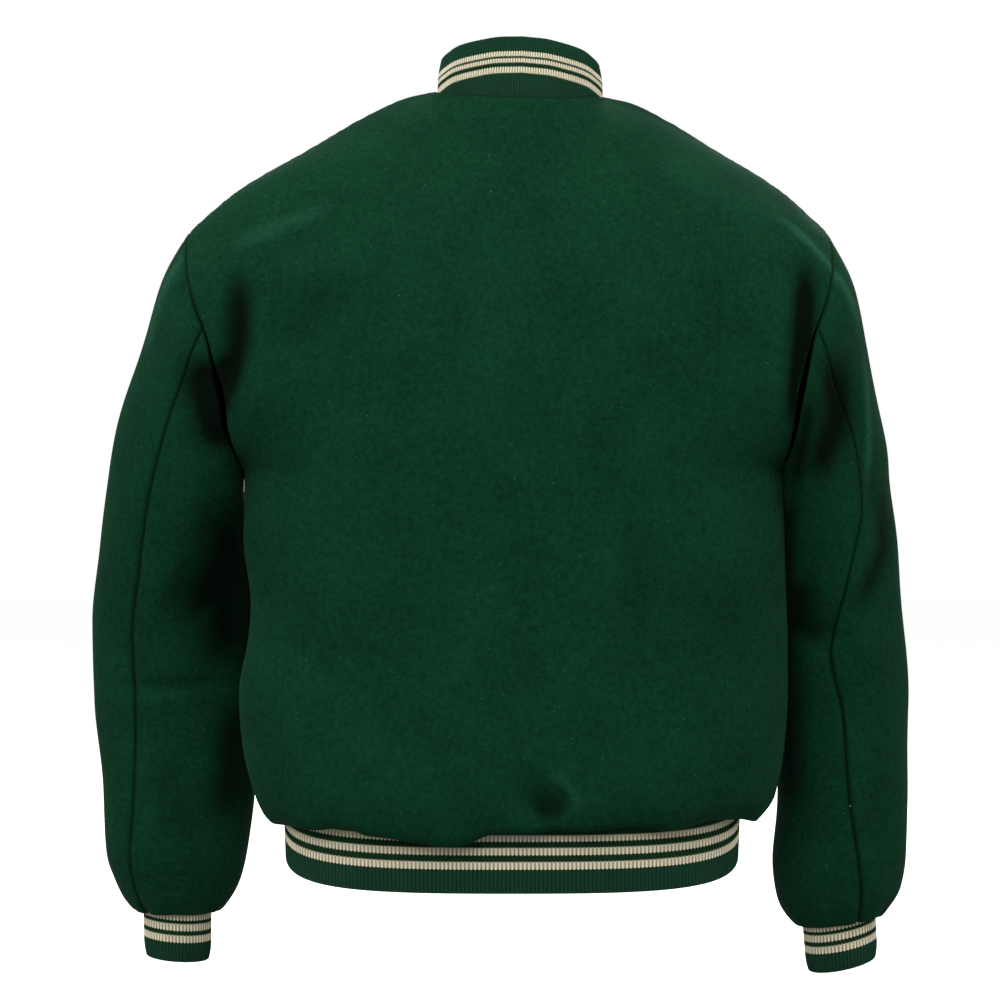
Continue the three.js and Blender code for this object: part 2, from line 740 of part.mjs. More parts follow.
function add(name, geometry, material) {
  const mesh = new THREE.Mesh(geometry, material.clone());
  mesh.name = name;
  jacket.add(mesh);
  return mesh;
}

// The wool panels
const panels = { back: backGrid(), front_left: frontGrid(1), front_right: frontGrid(-1) };
const seamColumn = Math.round(sleeveSeamShare * rowsBesideArm);
for (const hand of ["left", "right"]) {
  const grid = sleeveGrid(hand);
  const count = grid[0].length;
  const back = hand === "left" ? seamColumn : count - 1 - seamColumn;
  const front = hand === "left" ? count - seamColumn : seamColumn - 1;
  const [from, to] = hand === "left" ? [back, front] : [front, back];
  panels[`sleeve_under_${hand}`] = slice(grid, from, to);
  panels[`sleeve_upper_${hand}`] = slice(grid, to, from + count);
}
const normalAt = sharedNormals(Object.values(panels));
const shiftAt = seamShifts(Object.values(panels));
Object.entries(panels).forEach(([name, grid], piece) =>
  add(name, clothGeometry(grid, (point) => shiftAt(piece, point), normalAt), wool),
);

// The rib-knit trims
const lapShare = band.lap / band.length;
add("waistband_rib", ribbedGeometry(bandPoint, band, [0, 1], -lapShare, 1 + lapShare), rib);
const gapShare = collar.endGap / 2 / collar.length;
add("collar_rib", ribbedGeometry(collarPoint, collar, [0, 0.5, 1], gapShare, 1 - gapShare), rib);
const cuffLevels = [0, cuff.tuckReach / 2, cuff.tuckReach, 1];
for (const hand of ["left", "right"]) {
  const pointAt = (share, level, lift) => cuffPoint(hand, share, level, lift);
  add(`cuff_${hand}`, ribbedGeometry(pointAt, cuff, cuffLevels, 0, 1, true), rib);
}

// The snap buttons, square to the cloth they sit on
const snapProfile = [
  [0, 0],
  [snap.radius, 0],
  [snap.radius, snap.edge],
  [snap.radius * snap.brim, snap.height * snap.domeStart],
  [snap.radius * snap.crown, snap.height],
  [0, snap.height],
].map(([x, y]) => new THREE.Vector2(x, y));

function addSnap(name, point, normal) {
  const mesh = add(name, new THREE.LatheGeometry(snapProfile, snap.sides), metal);
  mesh.quaternion.setFromUnitVectors(new THREE.Vector3(0, 1, 0), normal);
  mesh.position.copy(point);
}

function climbAt(z) {
  let low = 0.1;
  let high = 2;
  for (let i = 0; i < 40; i++) {
    const middle = (low + high) / 2;
    if (bodyPoint(-1, middle, 1).z < z) low = middle;
    else high = middle;
  }
  return low;
}

snapHeights.forEach((z, i) => {
  const climb = climbAt(z);
  const point = bodyPoint(-1, climb, 1);
  const rise = bodyPoint(-1, climb + 0.03, 1).sub(bodyPoint(-1, climb - 0.03, 1));
  const normal = new THREE.Vector3(1, 0, 0).cross(rise).normalize();
  addSnap(`snap_${i + 1}`, point.addScaledVector(normal, snap.seat), normal);
});
const bandSnapLevel = (bandSnapHeight - band.bottom) / (band.top - band.bottom);
const bandSnap = bandPoint(0, bandSnapLevel, band.ribLift + bandSnapSeat);
addSnap(`snap_${snapHeights.length + 1}`, bandSnap, new THREE.Vector3(0, -1, 0));

export default jacket;
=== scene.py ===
# A wool varsity jacket with rib-knit collar, cuffs and waistband, filled out as if worn.
# The tables are in millimetres, +Z up, with the front towards -Y and the wearer's left at +X.
import json
import math

import bpy
import numpy as np
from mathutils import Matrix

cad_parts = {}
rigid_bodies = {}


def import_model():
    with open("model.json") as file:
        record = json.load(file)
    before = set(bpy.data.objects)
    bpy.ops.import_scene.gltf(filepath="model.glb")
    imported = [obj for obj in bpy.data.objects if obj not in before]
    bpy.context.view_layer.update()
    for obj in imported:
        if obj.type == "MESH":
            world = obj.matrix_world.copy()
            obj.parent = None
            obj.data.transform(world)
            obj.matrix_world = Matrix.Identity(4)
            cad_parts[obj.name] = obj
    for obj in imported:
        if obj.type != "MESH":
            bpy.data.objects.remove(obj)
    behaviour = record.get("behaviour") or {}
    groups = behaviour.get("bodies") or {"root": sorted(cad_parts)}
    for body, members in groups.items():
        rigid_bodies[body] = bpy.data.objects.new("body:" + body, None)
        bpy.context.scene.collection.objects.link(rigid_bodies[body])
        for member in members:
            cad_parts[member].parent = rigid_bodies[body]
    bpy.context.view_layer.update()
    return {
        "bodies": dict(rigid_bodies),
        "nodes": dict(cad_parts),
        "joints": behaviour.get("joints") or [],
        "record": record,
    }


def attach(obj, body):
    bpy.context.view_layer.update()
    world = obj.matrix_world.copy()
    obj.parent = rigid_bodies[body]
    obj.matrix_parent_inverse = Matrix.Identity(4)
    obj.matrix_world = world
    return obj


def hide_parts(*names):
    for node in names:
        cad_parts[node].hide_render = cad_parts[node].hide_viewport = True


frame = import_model()
millimetre = 0.001

# Camera, behind the jacket and level with its middle
viewpoint = {"place": (0.010, 2.700, -0.336), "lens": 115.7, "turn": (math.pi / 2, 0, math.pi)}
cameraData = bpy.data.cameras.new("camera")
cameraData.lens = viewpoint["lens"]
camera = bpy.data.objects.new("camera", cameraData)
camera.location = viewpoint["place"]
camera.rotation_euler = viewpoint["turn"]
bpy.context.scene.collection.objects.link(camera)
bpy.context.scene.camera = camera
print("camera placed")


# A table is a dictionary of named columns.
def table(names, rows):
    return dict(zip(names.split(), np.array(rows, float).T))


bodyRows = table("climb z left right middle back front square", [
    [0.0, -588, 193, 193, 3, 111.6, 105.4, 2.5],
    [0.06, -599, 197, 197, 3, 115, 109, 2.5],
    [0.12, -604, 199, 202, 5, 122, 116, 2.5],
    [0.18, -599, 205, 208, 8, 129, 121, 2.5],
    [0.26, -582, 214, 220, 12, 132, 123, 2.45],
    [0.4, -543, 224, 227, 15, 129, 121, 2.4],
    [0.52, -497, 227, 229, 16, 126, 119, 2.4],
    [0.65, -446, 219, 229, 16, 124, 117, 2.4],
    [0.72, -420, 217, 228, 16, 124, 116, 2.4],
    [0.86, -365, 223, 226.5, 15, 124, 114, 2.4],
    [1.0, -312, 223, 223.5, 15, 124, 113, 2.4],
])
armholeRows = table("climb wide back front z", [
    [0.0, 223, 15, 15, -312],
    [0.15, 228, 53, -30, -298],
    [0.33, 238, 84, -59, -256],
    [0.5, 248, 90, -69, -208],
    [0.65, 262, 79, -62, -171],
    [0.8, 269, 54, -42, -140],
    [0.92, 271, 25, -17, -119],
    [1.0, 270, 3, 3, -110],
])
centreRows = table("climb backY backZ frontY frontZ", [
    [0.0, 124, -312, -113, -312],
    [0.25, 122, -227, -109, -252],
    [0.5, 114, -147, -102, -192],
    [0.7, 101, -90, -93, -144],
    [0.85, 86, -49, -84, -106],
    [0.95, 71, -18, -76, -77],
    [1.0, 62, -4, -70, -63],
])
shoulderRows = table("along x y z", [
    [0.0, 270, 3, -110],
    [0.2, 229, 1, -75],
    [0.48, 173, -2, -42],
    [0.72, 125, -4, -14],
    [0.89, 94, -5, 0],
    [1.0, 74, -4, 4],
])
neck = {"wide": 74, "middleY": -4, "sideZ": 4, "share": 2 / 3, "sway": -7, "tilt": 4, "bow": 0.44}
cornerReach = 0.3  # how far the corner of shoulder and neck seam softens into the cloth
rightShoulder = 0.977

# Large soft folds of the body: place, reach and lift, on the back (1) or the front (-1)
bodyFolds = [dict(zip("side x z wide tall lean lift".split(), row)) for row in [
    [1, -92, -430, 20, 110, 0.05, -3.5],
    [1, -62, -440, 22, 120, 0.05, 2],
    [1, -26, -578, 26, 20, 0.0, -7],
    [1, 175, -150, 60, 38, -0.6, 3],
    [1, -175, -150, 60, 38, 0.6, 3],
    [1, 205, -395, 22, 80, 0.0, -5],
    [1, -208, -360, 20, 90, 0.0, -4],
    [1, 120, -560, 34, 40, 0.3, 3],
    [1, 225, -192, 12, 44, 0.0, -11],
    [1, -237, -198, 12, 52, 0.0, -11],
    [-1, 120, -250, 30, 80, 0.35, -4],
    [-1, -125, -250, 30, 80, -0.35, -4],
    [-1, 95, -520, 26, 60, -0.1, -4],
    [-1, -90, -505, 24, 70, 0.1, -3.5],
]]
hemGathers = {"count": 13, "lift": 1.4, "drop": 1.2, "reach": 0.3}
# How much lower the back hangs over the waistband, from the wearer's right to the left
hemLine = table("x drop", [
    [-203, 0], [-186, 6], [-162, 6], [-142, 2.4], [-126, 0], [-102, 2.3], [-49, 2], [0, 0], [20, -2.5], [34, -8],
    [50, -10.5], [74, -9], [98, -6.5], [118, -4], [130, 1], [142, 3], [162, 0.5], [190, 0],
])
# The waistband and the hem seam rise towards the hips
hipRise = {"height": 24, "power": 1.6}


# A smooth curve through values at knots, with no overshoot.
def smooth(knots, values):
    knots = np.asarray(knots, float)
    values = np.asarray(values, float)
    widths = np.diff(knots).reshape([-1] + [1] * (values.ndim - 1))
    steps = np.diff(values, axis=0) / widths
    product = steps[:-1] * steps[1:]
    total = steps[:-1] + steps[1:]
    inner = np.where(product > 0, 2 * product / np.where(product > 0, total, 1), 0)
    slopes = np.concatenate([steps[:1], inner, steps[-1:]])

    def curve(places):
        places = np.clip(np.asarray(places, float), knots[0], knots[-1])
        i = np.clip(np.searchsorted(knots, places, side="right") - 1, 0, len(knots) - 2)
        width = knots[i + 1] - knots[i]
        u = (places - knots[i]) / width
        shape = list(places.shape) + [1] * (values.ndim - 1)
        u = u.reshape(shape)
        width = width.reshape(shape)
        return (
            (1 + 2 * u) * (1 - u) ** 2 * values[i]
            + u * (1 - u) ** 2 * width * slopes[i]
            + u * u * (3 - 2 * u) * values[i + 1]
            + u * u * (u - 1) * width * slopes[i + 1]
        )

    return curve


# Every column of a table as a smooth function of its first column.
def track(columns):
    key, *names = columns
    curves = {name: smooth(columns[key], columns[name]) for name in names}
    return lambda places: {name: curve(places) for name, curve in curves.items()}


bodyAt = track(bodyRows)
armholeAt = track(armholeRows)
centreAt = track(centreRows)
shoulderAt = track(shoulderRows)
hemLineAt = smooth(hemLine["x"], hemLine["drop"])


def mix(a, b, share):
    return a + (b - a) * share


def ease(low, high, value):
    share = np.clip((value - low) / (high - low), 0, 1)
    return share * share * (3 - 2 * share)


# A quarter of a rounded rectangle for each row, by share of its length, from its side (0) to its middle (1).
def quarterRound(wide, deep, square, shares):
    angle = np.linspace(0, math.pi / 2, 97)
    across = []
    outward = []
    for width, depth, power in zip(wide, deep, square):
        x = np.cos(angle) ** (2 / power)
        y = np.sin(angle) ** (2 / power)
        x[-1] = 0
        length = np.concatenate([[0], np.cumsum(np.hypot(np.diff(x) * width, np.diff(y) * depth))])
        across.append(np.interp(shares * length[-1], length, x))
        outward.append(np.interp(shares * length[-1], length, y))
    return np.array(across), np.array(outward)


# Shoulder seam, then neck seam, as the top edge of the back (side 1) or front (side -1).
def topEdge(side, shares):
    shoulder = shoulderAt(np.minimum(shares / neck["share"], 1))
    angle = np.clip((shares - neck["share"]) / (1 - neck["share"]), 0, 1) * math.pi / 2
    endY, endZ = (62, -4) if side > 0 else (-70, -63)
    drop = np.sin(angle) ** (1 if side > 0 else 1.4)
    onNeck = shares > neck["share"]
    return [
        np.where(onNeck, neck["wide"] * np.cos(angle), shoulder["x"]),
        np.where(onNeck, mix(neck["middleY"], endY, np.sin(angle)), shoulder["y"]),
        np.where(onNeck, mix(neck["sideZ"], endZ, drop), shoulder["z"]),
    ]


# How much higher the neck seam is at a place across it.
def neckTilt(x):
    part = np.clip(x / neck["wide"], -1, 1)
    return neck["tilt"] * part * (1 - neck["bow"] + neck["bow"] * part)


# The top edge with its corner softened, as rows further down follow it.
def softTop(side, shares, up):
    reach = cornerReach * np.sqrt(1 - up)[:, None] * np.minimum(1, shares * 3)
    total = [0, 0, 0]
    for offset in (-1, -0.5, 0, 0.5, 1):
        place = shares + offset * reach
        x, y, z = topEdge(side, np.where(place <= 1, place, 2 - place))
        total = [total[0] + np.where(place <= 1, x, -x) / 5, total[1] + y / 5, total[2] + z / 5]
    return total


def foldLift(folds, side, x, z):
    lift = np.zeros_like(x)
    for fold in folds:
        if fold["side"] != side:
            continue
        across = (x - fold["x"] - fold["lean"] * (z - fold["z"])) / fold["wide"]
        up = (z - fold["z"]) / fold["tall"]
        lift += fold["lift"] * np.exp(-across * across - up * up)
    return lift


def hipLift(towardsMiddle):
    return hipRise["height"] * (1 - np.clip(towardsMiddle, 0, 1)) ** hipRise["power"]


# The body below the underarm: climb 0 at the hem, 1 at the underarm;
# share 0 at the wearer's left, 1 at the centre, 2 at the right.
def lowerBody(side, climbs, shares):
    row = bodyAt(climbs)
    hand = np.where(shares <= 1, 1, -1)
    across = np.where(shares <= 1, shares, 2 - shares)
    depth = row["back"] - row["middle"] if side > 0 else row["front"] + row["middle"]
    leftX, leftY = quarterRound(row["left"], depth, row["square"], across)
    rightX, rightY = quarterRound(row["right"], depth, row["square"], across)
    x = np.where(hand > 0, leftX * row["left"][:, None], rightX * row["right"][:, None])
    y = np.where(hand > 0, leftY, rightY)
    sideX = np.where(hand > 0, leftX, rightX)
    depth = depth[:, None]
    climb = climbs[:, None]
    z = row["z"][:, None] + 0 * x
    angle = np.arctan2(side * y * depth, hand * x)
    nearLap = ease(20, 60, x) if side < 0 else 1
    fade = np.maximum(0, 1 - climb / hemGathers["reach"]) ** 0.7 * np.minimum(1, climb / 0.06) * nearLap
    wave = np.sin(hemGathers["count"] * angle + np.sin(3 * angle))
    lift = foldLift(bodyFolds, side, hand * x, z) * ease(0.06, 0.2, climb) + fade * hemGathers["lift"] * wave
    overhang = ease(0, 0.07, climb) * (1 - ease(0.12, 0.34, climb))
    z = z - fade * hemGathers["drop"] * wave + hipLift(y) * (1 - ease(0, 0.12, climb))
    if side > 0:
        z = z + hemLineAt(hand * x) * overhang
    return np.stack([
        hand * (x + fade * hemGathers["lift"] * wave * sideX),
        row["middle"][:, None] + side * (depth * y + lift * y),
        z,
    ], axis=-1)


# The body beside the armholes: up 0 at the underarm, 1 at the shoulder and neck.
def upperBody(side, up, shares):
    hole = {name: column[:, None] for name, column in armholeAt(up).items()}
    centre = {name: column[:, None] for name, column in centreAt(up).items()}
    hand = np.where(shares <= 1, 1, -1)
    across = np.where(shares <= 1, shares, 2 - shares)
    narrow = np.where(hand > 0, 1, mix(1, rightShoulder, up[:, None]))
    wide = hole["wide"] * narrow
    endY = hole["back"] if side > 0 else hole["front"]
    middleY = centre["backY"] if side > 0 else centre["frontY"]
    middleZ = centre["backZ"] if side > 0 else centre["frontZ"]
    topY, topZ = (62, -4) if side > 0 else (-70, -63)
    square = mix(2.4, 1.9, np.minimum(1, up / 0.4))
    deep = np.abs(middleY - endY)[:, 0]
    x, y = quarterRound(hole["wide"][:, 0], deep, square, across)
    level = np.sin(across * math.pi / 2)
    top = softTop(side, across, up)
    inner = np.minimum(1, across / 0.88) ** 4
    up = up[:, None]
    follow = up ** 1.8
    outX = mix(wide * x, narrow * (top[0] + (hole["wide"] - 270) * (1 - across)), up ** 2.6)
    outY = mix(mix(endY, middleY, y), top[1] + mix(endY - 3, middleY - topY, inner), follow)
    outZ = mix(mix(hole["z"], middleZ, level), top[2] + mix(hole["z"] + 110, middleZ - topZ, inner), follow)
    lift = foldLift(bodyFolds, side, hand * outX, outZ) * y * (1 - up ** 4)
    nearNeck = ease(0, neck["share"], across) * up ** 2
    outZ = outZ + neckTilt(hand * outX) * nearNeck
    return np.stack([hand * outX + neck["sway"] * nearNeck, outY + side * lift, outZ], axis=-1)


def bodyGrid(side, climbs, shares):
    low = lowerBody(side, climbs[climbs <= 1], shares)
    high = upperBody(side, climbs[climbs > 1] - 1, shares)
    return np.concatenate([low, high])


sleeveNames = "outX outZ inX inZ midY halfY turn"
sleeveRows = {
    "left": table(sleeveNames, [
        [289, -147, 225, -329, 6, 84, 3],
        [307, -196, 223.8, -345, -2, 80, 6],
        [325, -250, 222.8, -368, -12, 75, 9],
        [341, -308, 220, -400, -22, 70, 12],
        [351, -376, 216.5, -436, -32, 65, 15],
        [359, -440, 218, -474, -42, 62, 16],
        [357, -510, 220, -522, -50, 60, 15.5],
        [350, -578, 220, -580, -51, 58, 22],
        [347, -635, 225, -632, -51, 56, 28],
        [340, -660, 232, -660, -52, 50, 30],
        [330, -679, 243, -679, -52, 43, 30],
        [321, -687, 251, -687, -52, 35.5, 30],
    ]),
    "right": table(sleeveNames, [
        [-283, -152, -225, -329, 6, 83, 3],
        [-297, -205, -225.2, -345, -2, 80, 8],
        [-308, -255, -227.2, -368, -12, 76, 14],
        [-319, -310, -228, -400, -22, 74, 11],
        [-327, -378, -228, -436, -33, 71, -9],
        [-333.5, -443, -228, -474, -42, 69, -25],
        [-339, -512, -229, -522, -48, 66, -16],
        [-339, -582, -228, -582, -51, 63, -10],
        [-338, -640, -224, -642, -51, 58, 2],
        [-334, -666, -228, -675, -52, 51, 6],
        [-325, -682, -237, -693, -52, 43, 8.5],
        [-317, -690, -246, -702, -52, 36.5, 9],
    ]),
}
# Large soft folds of the sleeves: left (1) or right (-1), on the back (1) or the front (-1)
sleeveFolds = [dict(zip("hand side x z wide tall lean lift".split(), row)) for row in [
    [1, 1, 262, -242, 13, 28, 0.4, -8],
    [1, 1, 246, -425, 24, 85, 0.0, -8],
    [1, 1, 292, -492, 70, 7, 0.0, -2],
    [-1, 1, -269, -265, 12, 38, 0.0, -8],
    [-1, 1, -305, -375, 9, 60, 0.2, -4],
    [-1, 1, -238, -545, 14, 55, 0.0, -4],
    [1, -1, 288, -385, 60, 10, 0.0, -3],
    [1, -1, 284, -424, 55, 9, 0.0, -3],
    [-1, -1, -278, -380, 55, 10, 0.0, -3],
    [-1, -1, -276, -420, 50, 9, 0.0, -3],
]]
cuffs = {
    "left": {"top": (286, -50, -667), "bottom": (286, -53, -727), "turn": 30, "radius": 28.7, "tilt": 0.08},
    "right": {"top": (-279, -50, -677), "bottom": (-283, -54, -733), "turn": 8, "radius": 31, "tilt": 0.15},
}
cuff = {"narrowing": 0.6, "tuck": 2, "tuckReach": 0.25, "ribs": 60, "lap": 4, "foldLap": 15,
        "clearance": 0.95}
cuffGathers = {"count": 12, "lift": 0.9, "sway": 1.3}
sleeveSeam = 5 / 22  # the sleeve's seams, as shares of its ring from the top
lastStation = 14


# The ring round a cuff at a distance below its top.
def cuffRing(hand, below, angle, radius):
    spec = cuffs[hand]
    top = np.array(spec["top"], float)
    down = np.array(spec["bottom"]) - top
    down = down / np.linalg.norm(down)
    out = np.array([1.0 if hand == "left" else -1.0, 0, 0])
    out = out - down * out.dot(down)
    out = out / np.linalg.norm(out)
    behind = np.cross(down, out)
    behind = behind if behind[1] > 0 else -behind
    below, angle, radius = np.broadcast_arrays(below - spec["tilt"] * radius * np.cos(angle), angle, radius)
    return (
        top
        + below[..., None] * down
        + (radius * np.cos(angle))[..., None] * out
        + (radius * np.sin(angle))[..., None] * behind
    )


# Points of a sleeve by station (0 at the armhole) and share of its ring, from the top round by the back.
def sleeveGrid(hand, stations, shares):
    sign = 1 if hand == "left" else -1
    turn = shares % 1
    angle = shares * 2 * math.pi
    back = turn <= 0.5
    climb = np.abs(1 - 2 * turn)
    hole = armholeAt(climb)
    narrow = 1 if sign > 0 else mix(1, rightShoulder, climb)
    rings = [np.stack([sign * hole["wide"] * narrow, np.where(back, hole["back"], hole["front"]), hole["z"]], -1)]
    rows = sleeveRows[hand]
    for i in range(len(rows["turn"])):
        turned = angle - math.radians(rows["turn"][i])
        part = (1 + np.cos(turned)) / 2
        rings.append(np.stack([
            mix(rows["inX"][i], rows["outX"][i], part),
            rows["midY"][i] + rows["halfY"][i] * np.sin(turned),
            mix(rows["inZ"][i], rows["outZ"][i], part),
        ], -1))
    clear = cuffs[hand]["radius"] + cuff["clearance"]
    turned = angle - math.radians(cuffs[hand]["turn"])
    rings.append(cuffRing(hand, cuff["foldLap"], turned, clear))
    rings.append(cuffRing(hand, cuff["lap"], turned, clear))
    grid = smooth(np.arange(lastStation + 1), np.array(rings))(stations)
    folds = [fold for fold in sleeveFolds if fold["hand"] == sign]
    offEnds = ease(0, 1, stations) * (1 - ease(lastStation - 3, lastStation - 1, stations))
    lift = sum(foldLift(folds, side, grid[..., 0], grid[..., 2]) * (side * np.sin(angle) >= 0) for side in (1, -1))
    grid[..., 1] += lift * np.sin(angle) * offEnds[:, None]
    # The mouth is gathered a little where it is sewn to the cuff.
    near = ease(lastStation - 5, lastStation - 2.5, stations) * (1 - ease(lastStation - 1.6, lastStation, stations))
    wave = np.sin(cuffGathers["count"] * angle + cuffGathers["sway"] * np.sin(2 * angle + sign))
    way = np.stack([sign * np.cos(angle), np.sin(angle), 0 * angle], -1)
    return grid + way * (cuffGathers["lift"] * wave * near[:, None])[..., None]


# Lengths along a grid from its first row or column, in millimetres.
def lengths(grid, axis):
    steps = np.linalg.norm(np.diff(grid, axis=axis), axis=-1)
    start = np.zeros_like(np.take(steps, [0], axis=axis))
    return np.concatenate([start, np.cumsum(steps, axis=axis)], axis=axis)


# Outward directions of a grid whose rows climb and whose columns run anticlockwise.
def normals(grid):
    made = np.cross(np.gradient(grid, axis=1), np.gradient(grid, axis=0))
    return made / np.maximum(np.linalg.norm(made, axis=-1, keepdims=True), 1e-9)


# Places from 0 to 1 along a length, closer together near its ends.
edgeSteps = np.array([0, 0.5, 1.1, 1.9, 3.0, 4.6])


def places(length, step):
    start = edgeSteps[-1] + step * 0.8
    count = max(2, round((length - 2 * start) / step) + 1)
    middle = np.linspace(start, length - start, count)
    return np.concatenate([edgeSteps, middle, length - edgeSteps[::-1]]) / length


# Parameter values spaced evenly by length along the line that they make.
def evenly(line, low, high, step):
    values = np.linspace(low, high, 800)
    points = line(values)
    length = np.concatenate([[0], np.cumsum(np.linalg.norm(np.diff(points, axis=0), axis=1))])
    return np.interp(places(length[-1], step) * length[-1], length, values)


# Fine unevenness of thick cloth, as a sum of slow waves.
relief = {"seed": 7, "waves": 30, "shortest": 45, "longest": 170, "height": 0.30}
random = np.random.default_rng(relief["seed"])
waveLengths = random.uniform(relief["shortest"], relief["longest"], relief["waves"])
waveWays = random.normal(size=(relief["waves"], 3))
waveWays *= (2 * math.pi / waveLengths / np.linalg.norm(waveWays, axis=1))[:, None]
wavePhases = random.uniform(0, 2 * math.pi, relief["waves"])


def unevenness(points):
    total = np.zeros(points.shape[:-1])
    for way, phase, length in zip(waveWays, wavePhases, waveLengths):
        total += np.sin(points @ way + phase) * length / relief["longest"]
    return total * relief["height"]


# Creases seen square to the back (side 1) or the front (side -1). Each line is a list of points (x, z).
# Lift is how far it stands out, and the next mark how much lighter, or darker below 0, the nap is painted there: a
# painted highlight on ridges, painted shade in creases and hollows.
creases = [dict(zip("part side wide lift wear line".split(), row)) for row in [
    ["body", 1, 11, -5, -1.0, [(226, -136), (223, -165), (222, -195), (225, -222), (234, -252), (238, -285)]],
    ["body", 1, 9, -1.5, -0.9, [(232, -212), (238, -236), (243, -256), (240, -280)]],
    ["body", 1, 8, 2.2, 0.05, [(204, -150), (202, -195), (206, -240), (213, -290)]],
    ["body", 1, 10, -5, -1.3, [(-241, -122), (-240, -160), (-237, -205), (-233, -250), (-230, -300)]],
    ["body", 1, 8, 2.0, 0.05, [(-221, -150), (-218, -195), (-215, -250), (-214, -300)]],
    ["body", 1, 7, 1.2, 0.28, [(238, -136), (224, -128), (190, -113), (142, -97)]],
    ["body", 1, 15, -2.2, -0.1, [(215, -152), (180, -134), (140, -118)]],
    ["body", 1, 18, -2.0, -0.1, [(110, -149), (155, -186), (197, -229)]],
    ["body", 1, 12, 2.0, 0.10, [(-108, -50), (-150, -74), (-186, -93), (-213, -108), (-232, -124)]],
    ["both", 1, 3, 1.2, 0.8, [(-206, -98), (-224, -108), (-243, -126), (-262, -148), (-280, -178), (-291, -214)]],
    ["body", 1, 24, -2.2, -0.1, [(-120, -400), (-165, -440), (-200, -500)]],
    ["body", 1, 13, -3.0, -0.75, [(-14, -590), (-28, -582), (-44, -590)]],
    ["body", 1, 5, 1.6, 0.25, [(-24, -556), (-42, -564), (-58, -586)]],
    ["body", 1, 14, 1.2, 0.05, [(-74, -330), (-80, -400), (-84, -480)]],
    ["body", 1, 12, -0.8, -0.05, [(-96, -340), (-100, -410), (-104, -480)]],
    ["sleeve", 1, 3.5, 1.4, 0.6, [(262, -122), (276, -144), (292, -176), (306, -222)]],
    ["sleeve", 1, 3, -1.2, -0.3, [(256, -128), (266, -150), (276, -182)]],
    ["sleeve", 1, 17, -4, -1.0, [(268, -214), (258, -238), (247, -270), (238, -305)]],
    ["sleeve", 1, 10, -2, -0.8, [(250, -214), (246, -244), (240, -276), (234, -304)]],
    ["sleeve", 1, 10, 2.2, 0.0, [(264, -288), (258, -318), (260, -350)]],
    ["sleeve", 1, 24, -4, -1.0, [(230, -318), (238, -390), (240, -450), (232, -500)]],
    ["sleeve", 1, 26, -2, -0.5, [(290, -400), (270, -412), (248, -430)]],
    ["sleeve", 1, 6, -1.3, -0.15, [(320, -489), (292, -491), (262, -488), (246, -482)]],
    ["sleeve", 1, 7, 1.0, 0.08, [(318, -500), (292, -502), (262, -500)]],
    ["sleeve", 1, 13, -3.0, -0.8, [(232, -496), (236, -560), (240, -620)]],
    ["sleeve", 1, 18, -2.0, -0.25, [(300, -550), (280, -590), (268, -630)]],
    ["sleeve", 1, 9, 1.4, 0.05, [(316, -540), (304, -590), (300, -640)]],
    ["sleeve", 1, 15, -4, -1.1, [(-256, -204), (-264, -235), (-268, -264), (-260, -292), (-241, -335)]],
    ["sleeve", 1, 7, -2, -0.8, [(-246, -240), (-238, -276), (-232, -310), (-230, -340)]],
    ["sleeve", 1, 8, 1.6, 0.05, [(-248, -228), (-246, -255), (-244, -280)]],
    ["sleeve", 1, 5, -2, -0.8, [(-231, -330), (-231, -370), (-231, -410)]],
    ["sleeve", 1, 3, 1.3, 0.6, [(-288, -205), (-293, -245), (-295, -290), (-292, -335)]],
    ["sleeve", 1, 9, -2.5, -0.75, [(-312, -312), (-311, -369), (-298, -407), (-283, -440)]],
    ["sleeve", 1, 8, 2.0, 0.1, [(-290, -320), (-292, -370), (-280, -408), (-262, -422)]],
    ["sleeve", 1, 14, -3.0, -0.8, [(-236, -398), (-240, -425), (-234, -458)]],
    ["sleeve", 1, 8, -2.0, -0.4, [(-270, -436), (-254, -446), (-240, -452)]],
    ["sleeve", 1, 7, 1.4, 0.1, [(-272, -456), (-256, -468), (-242, -476)]],
    ["sleeve", 1, 8, -3.0, -0.8, [(-231, -480), (-233, -545), (-235, -600)]],
    ["sleeve", 1, 14, -2.0, -0.15, [(-300, -560), (-306, -600), (-300, -640)]],
    ["body", -1, 11, -6, -0.6, [(224, -160), (220, -200), (226, -250)]],
    ["body", -1, 11, -6, -0.6, [(-222, -158), (-218, -204), (-224, -255)]],
    ["body", -1, 8, 1.4, 0.15, [(206, -130), (165, -112), (120, -96)]],
    ["body", -1, 8, 1.4, 0.15, [(-204, -128), (-160, -112), (-118, -98)]],
    ["body", -1, 20, -2.2, 0.0, [(190, -300), (140, -350), (110, -430)]],
    ["body", -1, 18, -2.0, 0.0, [(-192, -310), (-150, -370), (-125, -440)]],
    ["sleeve", -1, 12, 6, 0.0, [(228, -290), (227, -325), (226, -365)]],
    ["sleeve", -1, 7, -2, -0.3, [(330, -372), (290, -384), (250, -384)]],
    ["sleeve", -1, 6, -2, -0.3, [(326, -430), (290, -424), (246, -420)]],
    ["sleeve", -1, 12, -3.0, -0.2, [(300, -230), (280, -270), (250, -300)]],
    ["sleeve", -1, 9, -2.5, -0.1, [(296, -560), (280, -600), (276, -640)]],
    ["sleeve", -1, 7, -2, -0.3, [(-308, -365), (-275, -380), (-245, -380)]],
    ["sleeve", -1, 6, -2, -0.3, [(-314, -428), (-280, -420), (-244, -420)]],
    ["sleeve", -1, 12, -3.0, -0.2, [(-284, -226), (-268, -268), (-246, -300)]],
    ["sleeve", -1, 9, -2.5, -0.1, [(-300, -565), (-284, -605), (-278, -645)]],
]]
creaseEnds = 0.3  # share of a crease's length over which it fades at either end


